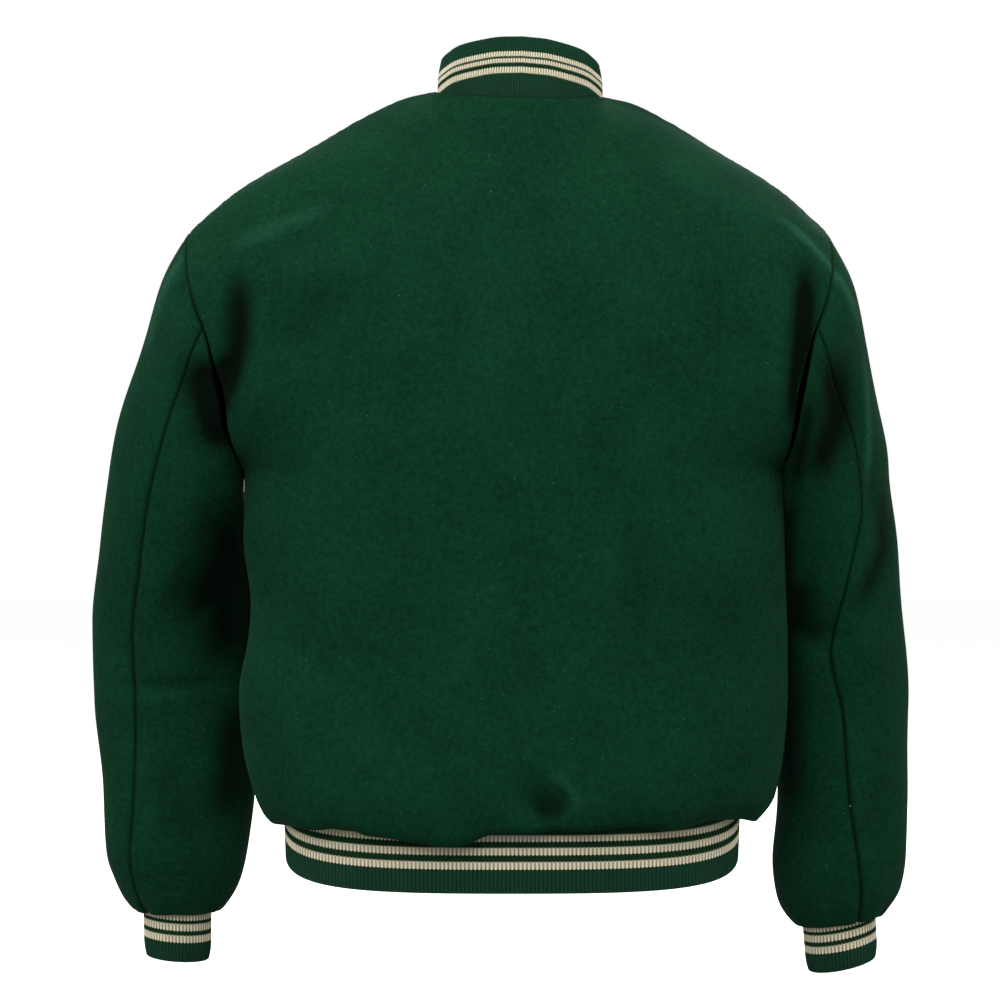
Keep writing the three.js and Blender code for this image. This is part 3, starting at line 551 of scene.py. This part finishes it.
# The nearest distance of each place to a curve through the points, and its share of the curve's length.
def lineDistance(x, z, line):
    line = smooth(np.arange(len(line)), line)(np.linspace(0, len(line) - 1, 4 * len(line)))
    steps = np.linalg.norm(np.diff(line, axis=0), axis=1)
    nearest = np.full(x.shape, np.inf)
    place = np.zeros(x.shape)
    run = 0
    for (startX, startZ), (endX, endZ), step in zip(line, line[1:], steps):
        along = (x - startX) * (endX - startX) + (z - startZ) * (endZ - startZ)
        share = np.clip(along / step ** 2, 0, 1)
        distance = np.hypot(x - mix(startX, endX, share), z - mix(startZ, endZ, share))
        place = np.where(distance < nearest, run + share * step, place)
        nearest = np.minimum(nearest, distance)
        run += step
    return nearest, place / run


# The lift, and the painted shade and highlight, of all creases at the points of a body or sleeve panel.
def creased(part, points, out):
    lift = np.zeros(points.shape[:-1])
    wear = np.zeros(points.shape[:-1])
    for crease in creases:
        if crease["part"] not in (part, "both"):
            continue
        distance, place = lineDistance(points[..., 0], points[..., 2], crease["line"])
        ends = ease(0, creaseEnds, place) * (1 - ease(1 - creaseEnds, 1, place))
        weight = np.exp(-((distance / crease["wide"]) ** 2)) * ends * ease(0, 0.45, crease["side"] * out[..., 1])
        lift += crease["lift"] * weight
        wear += crease["wear"] * weight
    return lift, wear


# Faces of a grid of vertices, numbered row by row from a first number.
def gridFaces(ids):
    return np.stack([ids[:-1, :-1], ids[:-1, 1:], ids[1:, 1:], ids[1:, :-1]], axis=-1).reshape(-1, 4)


def makeObject(name, points, faces, material, marks):
    mesh = bpy.data.meshes.new(name)
    mesh.from_pydata((points * millimetre).tolist(), [], faces)
    mesh.polygons.foreach_set("use_smooth", [True] * len(mesh.polygons))
    for mark, values in marks.items():
        mesh.attributes.new(mark, "FLOAT", "POINT").data.foreach_set("value", np.asarray(values, np.float32).ravel())
    mesh.materials.append(material)
    mesh.update()
    made = bpy.data.objects.new(name, mesh)
    bpy.context.scene.collection.objects.link(made)
    return made


# Node sockets that can be added, multiplied and compared like numbers.
class Wire:
    def __init__(self, tree, socket):
        self.tree = tree
        self.socket = socket

    def node(self, kind, settings, inputs, output=0):
        made = self.tree.nodes.new(kind)
        for name, value in settings.items():
            setattr(made, name, value)
        for name, value in inputs.items():
            if isinstance(value, Wire):
                self.tree.links.new(value.socket, made.inputs[name])
            else:
                made.inputs[name].default_value = value
        return Wire(self.tree, made.outputs[output])

    def math(self, operation, *others):
        return self.node("ShaderNodeMath", {"operation": operation}, dict(enumerate([self, *others])))

    def __add__(self, other):
        return self.math("ADD", other)

    def __sub__(self, other):
        return self.math("SUBTRACT", other)

    def __mul__(self, other):
        return self.math("MULTIPLY", other)

    def __truediv__(self, other):
        return self.math("DIVIDE", other)

    def __pow__(self, other):
        return self.math("POWER", other)

    def __gt__(self, other):
        return self.math("GREATER_THAN", other)

    def __lt__(self, other):
        return self.math("LESS_THAN", other)

    __radd__ = __add__
    __rmul__ = __mul__

    def __rsub__(self, other):
        return self * -1 + other

    def clip(self):
        return self.math("MINIMUM", 1).math("MAXIMUM", 0)

    # 0 below low, 1 above high
    def ramp(self, low, high):
        return ((self - low) / (high - low)).clip()

    def noise(self, scale, detail=2.0, roughness=0.5):
        inputs = {"Vector": self, "Scale": scale, "Detail": detail, "Roughness": roughness}
        return self.node("ShaderNodeTexNoise", {}, inputs)

    # A colour between two colours or wires, by this share
    def tint(self, low, high):
        return self.node("ShaderNodeMix", {"data_type": "RGBA"}, {0: self, 6: low, 7: high}, 2)


# A new material's tree, its surface shader and its object coordinates in metres.
def newMaterial(name, values):
    material = bpy.data.materials.new(name)
    material.use_nodes = True
    tree = material.node_tree
    surface = next(node for node in tree.nodes if node.type == "BSDF_PRINCIPLED")
    for socket, value in values.items():
        surface.inputs[socket].default_value = value
    coordinates = tree.nodes.new("ShaderNodeTexCoord")
    return material, surface, Wire(tree, coordinates.outputs["Object"])


def plug(surface, **wires):
    for name, wire in wires.items():
        wire.tree.links.new(wire.socket, surface.inputs[name.replace("_", " ")])


def attribute(wire, name):
    return wire.node("ShaderNodeAttribute", {"attribute_name": name}, {}, 2)


woolLook = {
    # deep is the colour of painted shade in creases and hollows
    "deep": (0.0004, 0.0038, 0.0014, 1),
    "dark": (0.0007, 0.0140, 0.0052, 1),
    "light": (0.0046, 0.0560, 0.0238, 1),
    # a painted highlight on ridges for the wool, and the scratched wear of the snaps
    "worn": (0.0190, 0.1000, 0.0540, 1),
    "fleck": (0.07, 0.17, 0.11, 1),
    "mottle": 16,
    "nap": 230,
    "fuzz": 1250,
    "bumpHeight": 0.0007,
}


def woolMaterial():
    values = {"Sheen Weight": 0.05, "Sheen Roughness": 0.4, "Sheen Tint": (0.35, 0.8, 0.55, 1),
              "Specular IOR Level": 0.05}
    material, surface, place = newMaterial("wool", values)
    mottle = place.noise(woolLook["mottle"], 3, 0.55)
    nap = place.noise(woolLook["nap"], 4, 0.62)
    fuzz = place.noise(woolLook["fuzz"], 3, 0.6)
    shade = 0.5 + (mottle - 0.5) * 0.6 + (nap - 0.5) * 1.2 + (fuzz - 0.5) * 0.9
    colour = shade.clip().tint(woolLook["dark"], woolLook["light"])
    cells = place.node("ShaderNodeTexVoronoi", {}, {"Vector": place, "Scale": 150.0})
    chance = place.noise(410, 1, 0.5)
    fleck = (cells < 0.09) * (chance > 0.60)
    colour = (fleck * 0.55).tint(colour, woolLook["fleck"])
    # Painted highlight on ridges where the crease mark is above 0, painted shade in creases and hollows where it is
    # below 0
    wear = attribute(place, "wear")
    colour = (wear * (0.4 + nap)).clip().tint(colour, woolLook["worn"])
    # Painted shade in the ditches along the seams
    colour = (attribute(place, "seam") * (0.5 + nap)).clip().tint(colour, woolLook["dark"])
    colour = (wear * -1).clip().tint(colour, woolLook["deep"])
    bump = place.node("ShaderNodeBump", {}, {
        "Strength": 0.75, "Distance": woolLook["bumpHeight"], "Height": nap * 0.7 + fuzz * 0.5,
    })
    plug(surface, Base_Color=colour, Roughness=0.86 + (nap - 0.5) * 0.2, Normal=bump)
    return material


stripes = {
    "waistband": [(20.4, 26.5), (32, 38), (43, 48)],
    "cuff": [(18, 24), (28, 34), (37, 41.5)],
    "collar": [(13.7, 17.8), (19.6, 23.2), (26.8, 31.8)],
}
ribLook = {
    # The green runs from dark to light partly as random tone and partly as painted shade between the ribs
    "dark": (0.0015, 0.0140, 0.0060, 1),
    "light": (0.0120, 0.0680, 0.0340, 1),
    "cream": (0.90, 0.83, 0.62, 1),
    # the cream in painted shade, for the gaps between ribs
    "creamShaded": (0.13, 0.12, 0.06, 1),
    "between": (0.0050, 0.0260, 0.0045, 1),
    "course": 1.35,
    "point": 0.9,
    "bumpHeight": 0.0005,
}


# Knit in V-shaped stitches; "wale" counts ribs round the trim and "fold" is the distance from its folded edge.
def ribMaterial(name):
    values = {"Sheen Weight": 0.04, "Sheen Roughness": 0.5, "Sheen Tint": (0.6, 0.85, 0.7, 1),
              "Specular IOR Level": 0.08}
    material, surface, place = newMaterial("rib_" + name, values)
    wale = attribute(place, "wale")
    fold = attribute(place, "fold")
    crest = (wale.math("FRACT") - 0.5).math("ABSOLUTE") * 2
    height = fold + crest * ribLook["point"]
    stitch = ((height / ribLook["course"]).math("FRACT") - 0.5).math("ABSOLUTE") * 2
    fuzz = place.noise(1500, 3, 0.6)
    mottle = place.noise(60, 2, 0.5)
    # Darker between the ribs and between stitch rows as painted shade, with random tone from the noise
    shade = (0.25 + crest * 0.45 + (1 - stitch) * 0.2 + (fuzz - 0.5) * 0.7 + (mottle - 0.5) * 0.3).clip()
    green = shade.tint(ribLook["dark"], ribLook["light"])
    # The cream is lit on the ribs' crests and in painted shade in the gaps between them
    bead = 0.2 + crest * 1.25 - stitch * 0.12 + (fuzz - 0.5) * 0.6
    cream = bead.clip().tint(ribLook["creamShaded"], ribLook["cream"])
    edge = height + (fuzz - 0.5) * 0.35
    banded = None
    for low, high in stripes[name]:
        stripe = edge.ramp(low - 0.12, low + 0.12) * (1 - edge.ramp(high - 0.12, high + 0.12))
        banded = stripe if banded is None else banded + stripe
    first, last = stripes[name][0][0], stripes[name][-1][1]
    among = edge.ramp(first - 2, first) * (1 - edge.ramp(last, last + 2))
    green = (among * 0.6).tint(green, ribLook["between"])
    colour = banded.tint(green, cream)
    relief = (1 - stitch ** 3) * 0.8 + fuzz * 0.5
    bump = place.node("ShaderNodeBump", {}, {
        "Strength": 0.8, "Distance": ribLook["bumpHeight"], "Height": relief,
    })
    plug(surface, Base_Color=colour, Roughness=0.84 + (fuzz - 0.5) * 0.2, Normal=bump)
    return material


# The wool panels: shells with soft rolled edges, drawn in along their seams
clothLook = {"wall": 2.4, "step": 3.4, "ditch": 1.35, "ditchWide": 2.0, "pucker": 0.4, "puckerLength": 11,
             "retreat": 0.2}
wool = woolMaterial()


def panel(name, grid, sewn):
    out = normals(grid)
    alongRows = lengths(grid, 0)
    alongColumns = lengths(grid, 1)
    fromEdge = {
        "bottom": (alongRows, alongColumns),
        "top": (alongRows[-1:] - alongRows, alongColumns),
        "start": (alongColumns, alongRows),
        "end": (alongColumns[:, -1:] - alongColumns, alongRows),
    }
    lift = unevenness(grid)
    seam = np.zeros(grid.shape[:2])
    wall = clothLook["wall"]
    drop = np.zeros(grid.shape[:2])
    for edge, (distance, along) in fromEdge.items():
        lift = lift * (1 - np.exp(-((distance / 6) ** 2)))
        if edge in sewn:
            ditch = np.exp(-((distance / clothLook["ditchWide"]) ** 2))
            phase = 2 * math.pi * along / clothLook["puckerLength"]
            pucker = np.sin(phase + 2.2 * np.sin(phase * 0.23) + len(name))
            drop += clothLook["ditch"] * ditch
            drop += clothLook["pucker"] * pucker * np.exp(-distance / 7) * (1 - ditch)
            # seam marks the ditch along a sewn edge, which the wool's colour fills with painted shade
            seam = np.maximum(seam, ditch)
        else:
            radius = wall * 0.45
            near = np.clip(1 - distance / radius, 0, 1)
            drop = np.maximum(drop, radius * (1 - np.sqrt(1 - near * near)))
    # The creases' lift, and their painted shade and highlight for the wool's colour
    creaseLift, wear = creased("sleeve" if name.startswith("sleeve") else "body", grid, out)
    base = grid + out * (lift + creaseLift)[..., None]
    for row, inside in [(0, 1), (-1, -2)]:
        way = base[inside] - base[row]
        base[row] += clothLook["retreat"] * way / np.linalg.norm(way, axis=-1, keepdims=True)
        way = base[:, inside] - base[:, row]
        base[:, row] += clothLook["retreat"] * way / np.linalg.norm(way, axis=-1, keepdims=True)
    outer = base - out * drop[..., None]
    inner = base - out * wall
    count = grid.shape[0] * grid.shape[1]
    a = np.arange(count).reshape(grid.shape[:2])
    b = a + count
    faces = [
        gridFaces(a),
        gridFaces(b)[:, ::-1],
        gridFaces(np.stack([b[0], a[0]])),
        gridFaces(np.stack([a[-1], b[-1]])),
        gridFaces(np.stack([b[:, 0], a[:, 0]], axis=1)),
        gridFaces(np.stack([a[:, -1], b[:, -1]], axis=1)),
    ]
    points = np.concatenate([outer.reshape(-1, 3), inner.reshape(-1, 3)])
    marks = {
        "seam": np.concatenate([seam.ravel(), np.zeros(count)]),
        "wear": np.concatenate([wear.ravel(), np.zeros(count)]),
    }
    made = makeObject(name + "_cloth", points, np.concatenate(faces).tolist(), wool, marks)
    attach(made, "root")
    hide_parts(name)
    return made


climbs = evenly(lambda values: bodyGrid(1, values, np.array([0.6]))[:, 0], 0, 2, clothLook["step"])
backShares = places(600, clothLook["step"]) * 2
panel("back", bodyGrid(1, climbs, backShares), ["bottom", "top", "start", "end"])

# The fronts lap at the placket, the left one over the right
lap = {"width": 16, "drop": 3.3, "ease": 62, "flat": 28}


def frontGrid(hand):
    shares = places(300, clothLook["step"])
    grid = bodyGrid(-1, climbs, shares if hand > 0 else 2 - shares)
    over = lap["width"] * np.append(np.linspace(0.2, 0.72, 4), 1 - edgeSteps[4::-1] / lap["width"])
    strip = grid[:, -1:] - hand * over[None, :, None] * np.array([1, 0, 0])
    grid = np.concatenate([grid, strip], axis=1)
    if hand > 0:
        return grid[:, ::-1]
    out = normals(grid)
    sunk = ease(-lap["ease"], -lap["flat"], grid[..., 0])
    return grid - out * (lap["drop"] * sunk)[..., None]


panel("front_left", frontGrid(1), ["bottom", "top", "end"])
panel("front_right", frontGrid(-1), ["bottom", "top", "start"])
print("body made")

for hand in ("left", "right"):
    for part, low, high, flat, area in (
        ("upper", -sleeveSeam, sleeveSeam, (0.25, 0.60), 0.096),
        ("under", sleeveSeam, 1 - sleeveSeam, (0.30, 0.46), 0.085),
    ):
        middle = np.array([(low + high) / 2])
        stations = evenly(lambda values: sleeveGrid(hand, values, middle)[:, 0], 0, lastStation, clothLook["step"])
        shares = mix(low, high, places((high - low) * 430, clothLook["step"]))
        grid = sleeveGrid(hand, stations[::-1], shares if hand == "left" else shares[::-1])
        panel(f"sleeve_{part}_{hand}", grid, ["bottom", "top", "start", "end"])
print("sleeves made")

# The rib-knit trims: each is a double fold of knit with raised ribs
rib = {"wall": 2.8, "samples": 6, "foldSteps": 7, "step": 3.1}


# Heights above the folded edge and depths into the wall, all round a trim's section.
def ribSection(height, step):
    radius = rib["wall"] / 2
    up = np.linspace(radius, height, max(3, round(height / step)))
    turn = np.linspace(math.pi, 0, rib["foldSteps"] + 2)[1:-1]
    heights = np.concatenate([up, up[::-1], radius - radius * np.sin(turn)])
    depths = np.concatenate([0 * up, 0 * up - rib["wall"], -radius + radius * np.cos(turn)])
    return heights, depths


def unsqueezed(shares):
    return np.ones_like(shares)


def trim(name, look, pointAt, ribs, low, high, height, ribLift, closed=False, flip=False,
         squeeze=unsqueezed):
    count = round(ribs * rib["samples"])
    shares = low + (high - low) * np.arange(count + (0 if closed else 1)) / count
    heights, depths = ribSection(height, rib["step"])
    wale = (shares - low) / (high - low) * ribs
    raised = 1 - 2 * np.abs(np.sin(math.pi * wale)) ** 1.5
    outerShare = 1 + 0.5 * depths / rib["wall"]
    lifts = depths[:, None] + ribLift * raised[None, :] * outerShare[:, None]
    grid = pointAt(shares[None, :] + 0 * lifts, heights[:, None] + 0 * lifts, lifts)
    ids = np.arange(grid.shape[0] * grid.shape[1]).reshape(grid.shape[:2])
    ids = np.concatenate([ids, ids[:1]])
    if closed:
        ids = np.concatenate([ids, ids[:, :1]], axis=1)
    faces = gridFaces(ids)
    faces = (faces[:, ::-1] if flip else faces).tolist()
    if not closed:
        ends = [ids[:-1, 0].tolist(), ids[:-1, -1][::-1].tolist()]
        faces += [end[::-1] for end in ends] if flip else ends
    fold = heights[:, None] * squeeze(shares)[None, :]
    marks = {"wale": (wale[None, :] + 0 * lifts).ravel(), "fold": fold.ravel()}
    made = makeObject(name + "_knit", grid.reshape(-1, 3), faces, ribMaterial(look), marks)
    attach(made, "root")
    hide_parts(name)
    return made


band = {"wide": 191.5, "middle": 3, "back": 110.2, "front": 104.2, "square": 2.5, "top": -585.5,
        "bottom": -654, "narrowing": 2.5, "ribs": 306, "ribLift": 0.5, "lap": 15, "lapDrop": 3.6,
        "lapEase": 60, "length": 986}


# The waistband by share of its path, from the centre front round by the wearer's left.
def bandPath(shares):
    part = (shares % 1) * 4
    quarter = np.floor(part).astype(int)
    side = np.where((quarter == 0) | (quarter == 3), -1, 1)
    hand = np.where(quarter < 2, 1, -1)
    fromSide = np.where(quarter % 2 == 0, 1 - (part - quarter), part - quarter)
    made = []
    for way, depth in ((1, band["back"] - band["middle"]), (-1, band["front"] + band["middle"])):
        x, y = quarterRound([band["wide"]], [depth], [band["square"]], fromSide.ravel())
        x = x.reshape(shares.shape)
        y = y.reshape(shares.shape)
        made.append(np.stack([hand * x * band["wide"], band["middle"] + way * depth * y, hipLift(y)], -1))
    return np.where((side > 0)[..., None], made[0], made[1])


def bandPoint(shares, heights, lifts):
    line = bandPath(shares[:1])
    along = bandPath(shares[:1] + 0.002) - bandPath(shares[:1] - 0.002)
    out = np.stack([along[..., 1], -along[..., 0], 0 * along[..., 0]], -1)
    out = out / np.linalg.norm(out, axis=-1, keepdims=True)
    level = heights / (band["top"] - band["bottom"])
    sunk = ease(-band["lapEase"], -band["lap"] - 2, (shares - 1) * band["length"])
    inset = band["lapDrop"] * sunk + band["narrowing"] * (1 - level)
    grid = line + out * (lifts - inset)[..., None]
    grid[..., 2] = band["bottom"] + heights + line[..., 2]
    return grid


lapShare = band["lap"] / band["length"]
trim("waistband_rib", "waistband", bandPoint, band["ribs"], -lapShare, 1 + lapShare,
     band["top"] - band["bottom"], band["ribLift"])

collar = {"ribs": 184, "ribLift": 0.38, "below": 3, "endGap": 3, "length": 440, "corner": 14, "bulge": 1.2}
collarAt = track(table("round height lean inset", [
    [0.0, 51, 7, 4.6],
    [0.1, 49.5, 6, 4.6],
    [0.2, 45, 4, 4.6],
    [0.3, 39.5, 3.5, 5.0],
    [0.4, 32, 5, 5.4],
    [0.5, 27, 6, 5.4],
    [0.75, 28, 9, 5.6],
    [0.9, 31, 12, 7.5],
    [1.0, 33, 12, 8],
]))
collarHeight = 51 + collar["below"]


def neckLine(shares):
    fromBack = np.abs(2 * shares - 1)
    hand = np.where(shares < 0.5, 1, -1)
    part = np.abs(1 - 2 * fromBack)
    ends = [np.stack(topEdge(side, mix(neck["share"], 1, part)), -1) for side in (1, -1)]
    line = np.where((fromBack <= 0.5)[..., None], ends[0], ends[1])
    line[..., 2] += neckTilt(hand * line[..., 0])
    line[..., 0] = hand * line[..., 0] + neck["sway"]
    return line


def collarPoint(shares, heights, lifts):
    top = shares[:1]
    base = neckLine(top)
    out = base - np.array([neck["sway"], neck["middleY"], 0])
    out[..., 2] = 0
    out = out / np.linalg.norm(out, axis=-1, keepdims=True)
    along = neckLine(top + 0.004) - neckLine(top - 0.004)
    rise = np.cross(out, along)
    rise = rise / np.linalg.norm(rise, axis=-1, keepdims=True)
    row = collarAt(np.abs(2 * top - 1))
    lean = np.radians(row["lean"])[..., None]
    upward = rise * np.cos(lean) - out * np.sin(lean)
    normal = out * np.cos(lean) + rise * np.sin(lean)
    fromEnd = np.minimum(top, 1 - top) * collar["length"]
    inCorner = np.maximum(0, collar["corner"] - fromEnd)
    cut = collar["corner"] - np.sqrt(np.maximum(0, collar["corner"] ** 2 - inCorner ** 2))
    tall = row["height"] - cut + collar["below"]
    level = 1 - np.clip(heights / (collarHeight + 0 * tall), 0, 1)
    height = -collar["below"] + tall * level
    bulge = collar["bulge"] * np.sin(math.pi * level)
    return (
        base
        - out * row["inset"][..., None]
        + upward * height[..., None]
        + normal * (lifts + bulge)[..., None]
    )


# How much lower the collar is at each share than at the back, so that its stripes keep their distance
def collarSqueeze(shares):
    return (collarAt(np.abs(2 * shares - 1))["height"] + collar["below"]) / collarHeight


gapShare = collar["endGap"] / 2 / collar["length"]
trim("collar_rib", "collar", collarPoint, collar["ribs"], gapShare, 1 - gapShare, collarHeight,
     collar["ribLift"], flip=True, squeeze=collarSqueeze)

for hand in ("left", "right"):
    length = math.dist(cuffs[hand]["top"], cuffs[hand]["bottom"])

    def cuffPoint(shares, heights, lifts):
        angle = shares * 2 * math.pi * (1 if hand == "left" else -1)
        level = heights / length
        tuck = cuff["tuck"] * np.maximum(0, 1 - level / cuff["tuckReach"]) ** 2
        radius = cuffs[hand]["radius"] + lifts - cuff["narrowing"] * (1 - level) - tuck
        return cuffRing(hand, length - heights, angle, radius)

    trim(f"cuff_{hand}", "cuff", cuffPoint, cuff["ribs"], 0, 1, length, 0.45, closed=True)
print("trims made")

# A row of small stitches beside the placket's edge, which holds the upper front's fold
stitchLook = {"fromEdge": 6, "every": 4.2, "long": 2.9, "wide": 0.42, "high": 0.3, "around": 6, "rings": 5,
              "colour": (0.006, 0.040, 0.019, 1)}


def placketStitches():
    grid = frontGrid(1)
    out = normals(grid)
    across = lengths(grid, 1)
    columns = [
        np.array([np.interp(stitchLook["fromEdge"], across[i], values[i, :, axis]) for i in range(len(grid))])
        for values in (grid, out)
        for axis in range(3)
    ]
    line = np.stack(columns[:3], -1)
    normal = np.stack(columns[3:], -1)
    run = lengths(line, 0)
    places = np.arange(stitchLook["every"] * 2, run[-1] - stitchLook["every"] * 2, stitchLook["every"])
    turn = np.linspace(0, 2 * math.pi, stitchLook["around"], endpoint=False)
    belly = np.linspace(0, math.pi, stitchLook["rings"])
    points = []
    faces = []
    for place in places:
        middle, ahead, up = (
            np.array([np.interp(spot, run, values[:, axis]) for axis in range(3)])
            for spot, values in ((place, line), (place + 1, line), (place, normal))
        )
        along = (ahead - middle) / np.linalg.norm(ahead - middle)
        side = np.cross(along, up)
        first = len(points) * len(belly) * len(turn)
        ids = first + np.arange(len(belly) * len(turn)).reshape(len(belly), len(turn))
        faces += gridFaces(np.concatenate([ids, ids[:, :1]], axis=1)).tolist()
        faces += [ids[0].tolist(), ids[-1][::-1].tolist()]
        thick = np.sin(np.clip(belly, 0.25, math.pi - 0.25))[:, None, None]
        points.append((
            middle
            - np.cos(belly)[:, None, None] * along * stitchLook["long"] / 2
            + thick * np.cos(turn)[None, :, None] * side * stitchLook["wide"]
            + thick * np.sin(turn)[None, :, None] * up * stitchLook["high"]
        ).reshape(-1, 3))
    material = newMaterial("thread", {"Base Color": stitchLook["colour"], "Roughness": 0.7})[0]
    made = makeObject("placket_stitches", np.concatenate(points), faces, material, {})
    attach(made, "root")


placketStitches()

# The snap buttons: a rim round a domed cap, enamelled, each standing where its solid does
snapLook = {"colour": (0.0045, 0.0300, 0.0140, 1), "worn": (0.020, 0.060, 0.036, 1), "sides": 40}
snapProfile = np.array([
    [7.3, 0], [7.5, 0.25], [7.5, 0.8], [7.3, 1.1], [6.95, 1.25], [6.6, 1.15], [6.35, 1.0], [6.15, 1.2],
    [5.8, 1.75], [5.0, 2.3], [3.9, 2.7], [2.5, 2.93], [1.0, 3.0],
])
snapMaterial, snapSurface, snapPlace = newMaterial("snap", {"Metallic": 0.2, "Coat Weight": 0.25,
                                                            "Coat Roughness": 0.22})
scratches = snapPlace.noise(900, 4, 0.7)
plug(snapSurface, Base_Color=scratches.ramp(0.55, 0.8).tint(snapLook["colour"], snapLook["worn"]),
     Roughness=0.32 + scratches * 0.2)


def snapButton(name, node):
    solid = np.array([vertex.co for vertex in node.data.vertices]) / millimetre
    ways = np.linalg.svd(solid - solid.mean(axis=0))[2]
    up = -ways[2] * np.sign(ways[2][1])
    side = ways[0]
    frame = np.array([side, np.cross(up, side), up])
    spans = solid @ frame.T
    middle = (spans.min(axis=0) + spans.max(axis=0)) / 2
    turn = np.linspace(0, 2 * math.pi, snapLook["sides"], endpoint=False)
    radius, height = snapProfile.T
    grid = np.stack([
        middle[0] + radius[:, None] * np.cos(turn),
        middle[1] + radius[:, None] * np.sin(turn),
        spans[:, 2].min() + height[:, None] + 0 * turn,
    ], -1) @ frame
    ids = np.arange(len(radius) * len(turn)).reshape(len(radius), len(turn))
    faces = gridFaces(np.concatenate([ids, ids[:, :1]], axis=1)).tolist()
    faces += [ids[0][::-1].tolist(), ids[-1].tolist()]
    made = makeObject(name + "_cap", grid.reshape(-1, 3), faces, snapMaterial, {})
    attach(made, "root")
    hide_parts(name)


for name, node in list(frame["nodes"].items()):
    if name.startswith("snap_"):
        snapButton(name, node)
print("snaps made")

# Pale floor and soft light
stageLook = {"floorZ": -0.80, "half": 12, "colour": (0.92, 0.92, 0.92, 1), "roughness": 0.9, "glow": 0.76}


# The floor glows a little, as a lit studio floor does, without tinting the cloth.
def floor():
    values = {
        "Base Color": stageLook["colour"],
        "Roughness": stageLook["roughness"],
        "Emission Color": stageLook["colour"],
        "Emission Strength": stageLook["glow"],
    }
    material = newMaterial("floor", values)[0]
    half = stageLook["half"]
    corners = [(-half, -half), (half, -half), (half, half), (-half, half)]
    points = np.array([(x, y, stageLook["floorZ"]) for x, y in corners]) / millimetre
    made = makeObject("floor", points, [(0, 1, 2, 3)], material, {})
    made.visible_diffuse = False
    made.visible_glossy = False


floor()
lights = [
    {"name": "key", "place": (0.5, 2.7, 1.5), "aim": (0, 0, -0.35), "size": 2.2, "power": 68},
    {"name": "overhead", "place": (0.0, 0.3, 2.0), "aim": (0, 0, -0.30), "size": 1.8, "power": 20},
    {"name": "left", "place": (2.6, 0.8, 0.5), "aim": (0, 0, -0.40), "size": 1.4, "power": 20},
    {"name": "right", "place": (-2.6, 0.8, 0.5), "aim": (0, 0, -0.40), "size": 1.4, "power": 20},
    {"name": "front", "place": (-0.4, -2.7, 1.4), "aim": (0, 0, -0.35), "size": 2.2, "power": 56},
]
for spec in lights:
    data = bpy.data.lights.new(spec["name"], "AREA")
    data.size = spec["size"]
    data.energy = spec["power"]
    lamp = bpy.data.objects.new(spec["name"], data)
    lamp.location = spec["place"]
    away = lamp.location.copy()
    for axis in range(3):
        away[axis] -= spec["aim"][axis]
    lamp.rotation_euler = away.to_track_quat("Z", "Y").to_euler()
    bpy.context.scene.collection.objects.link(lamp)

# The backdrop is brighter than the light that reaches the cloth from it
worldLook = {"backdrop": 1.0, "ambient": 0.30}
world = bpy.data.worlds.new("studio")
world.use_nodes = True
background = world.node_tree.nodes["Background"]
background.inputs["Color"].default_value = (1, 1, 1, 1)
seen = Wire(world.node_tree, world.node_tree.nodes.new("ShaderNodeLightPath").outputs["Is Camera Ray"])
strength = seen * (worldLook["backdrop"] - worldLook["ambient"]) + worldLook["ambient"]
world.node_tree.links.new(strength.socket, background.inputs["Strength"])
bpy.context.scene.world = world
bpy.context.scene.view_settings.view_transform = "Standard"
print("stage lit")
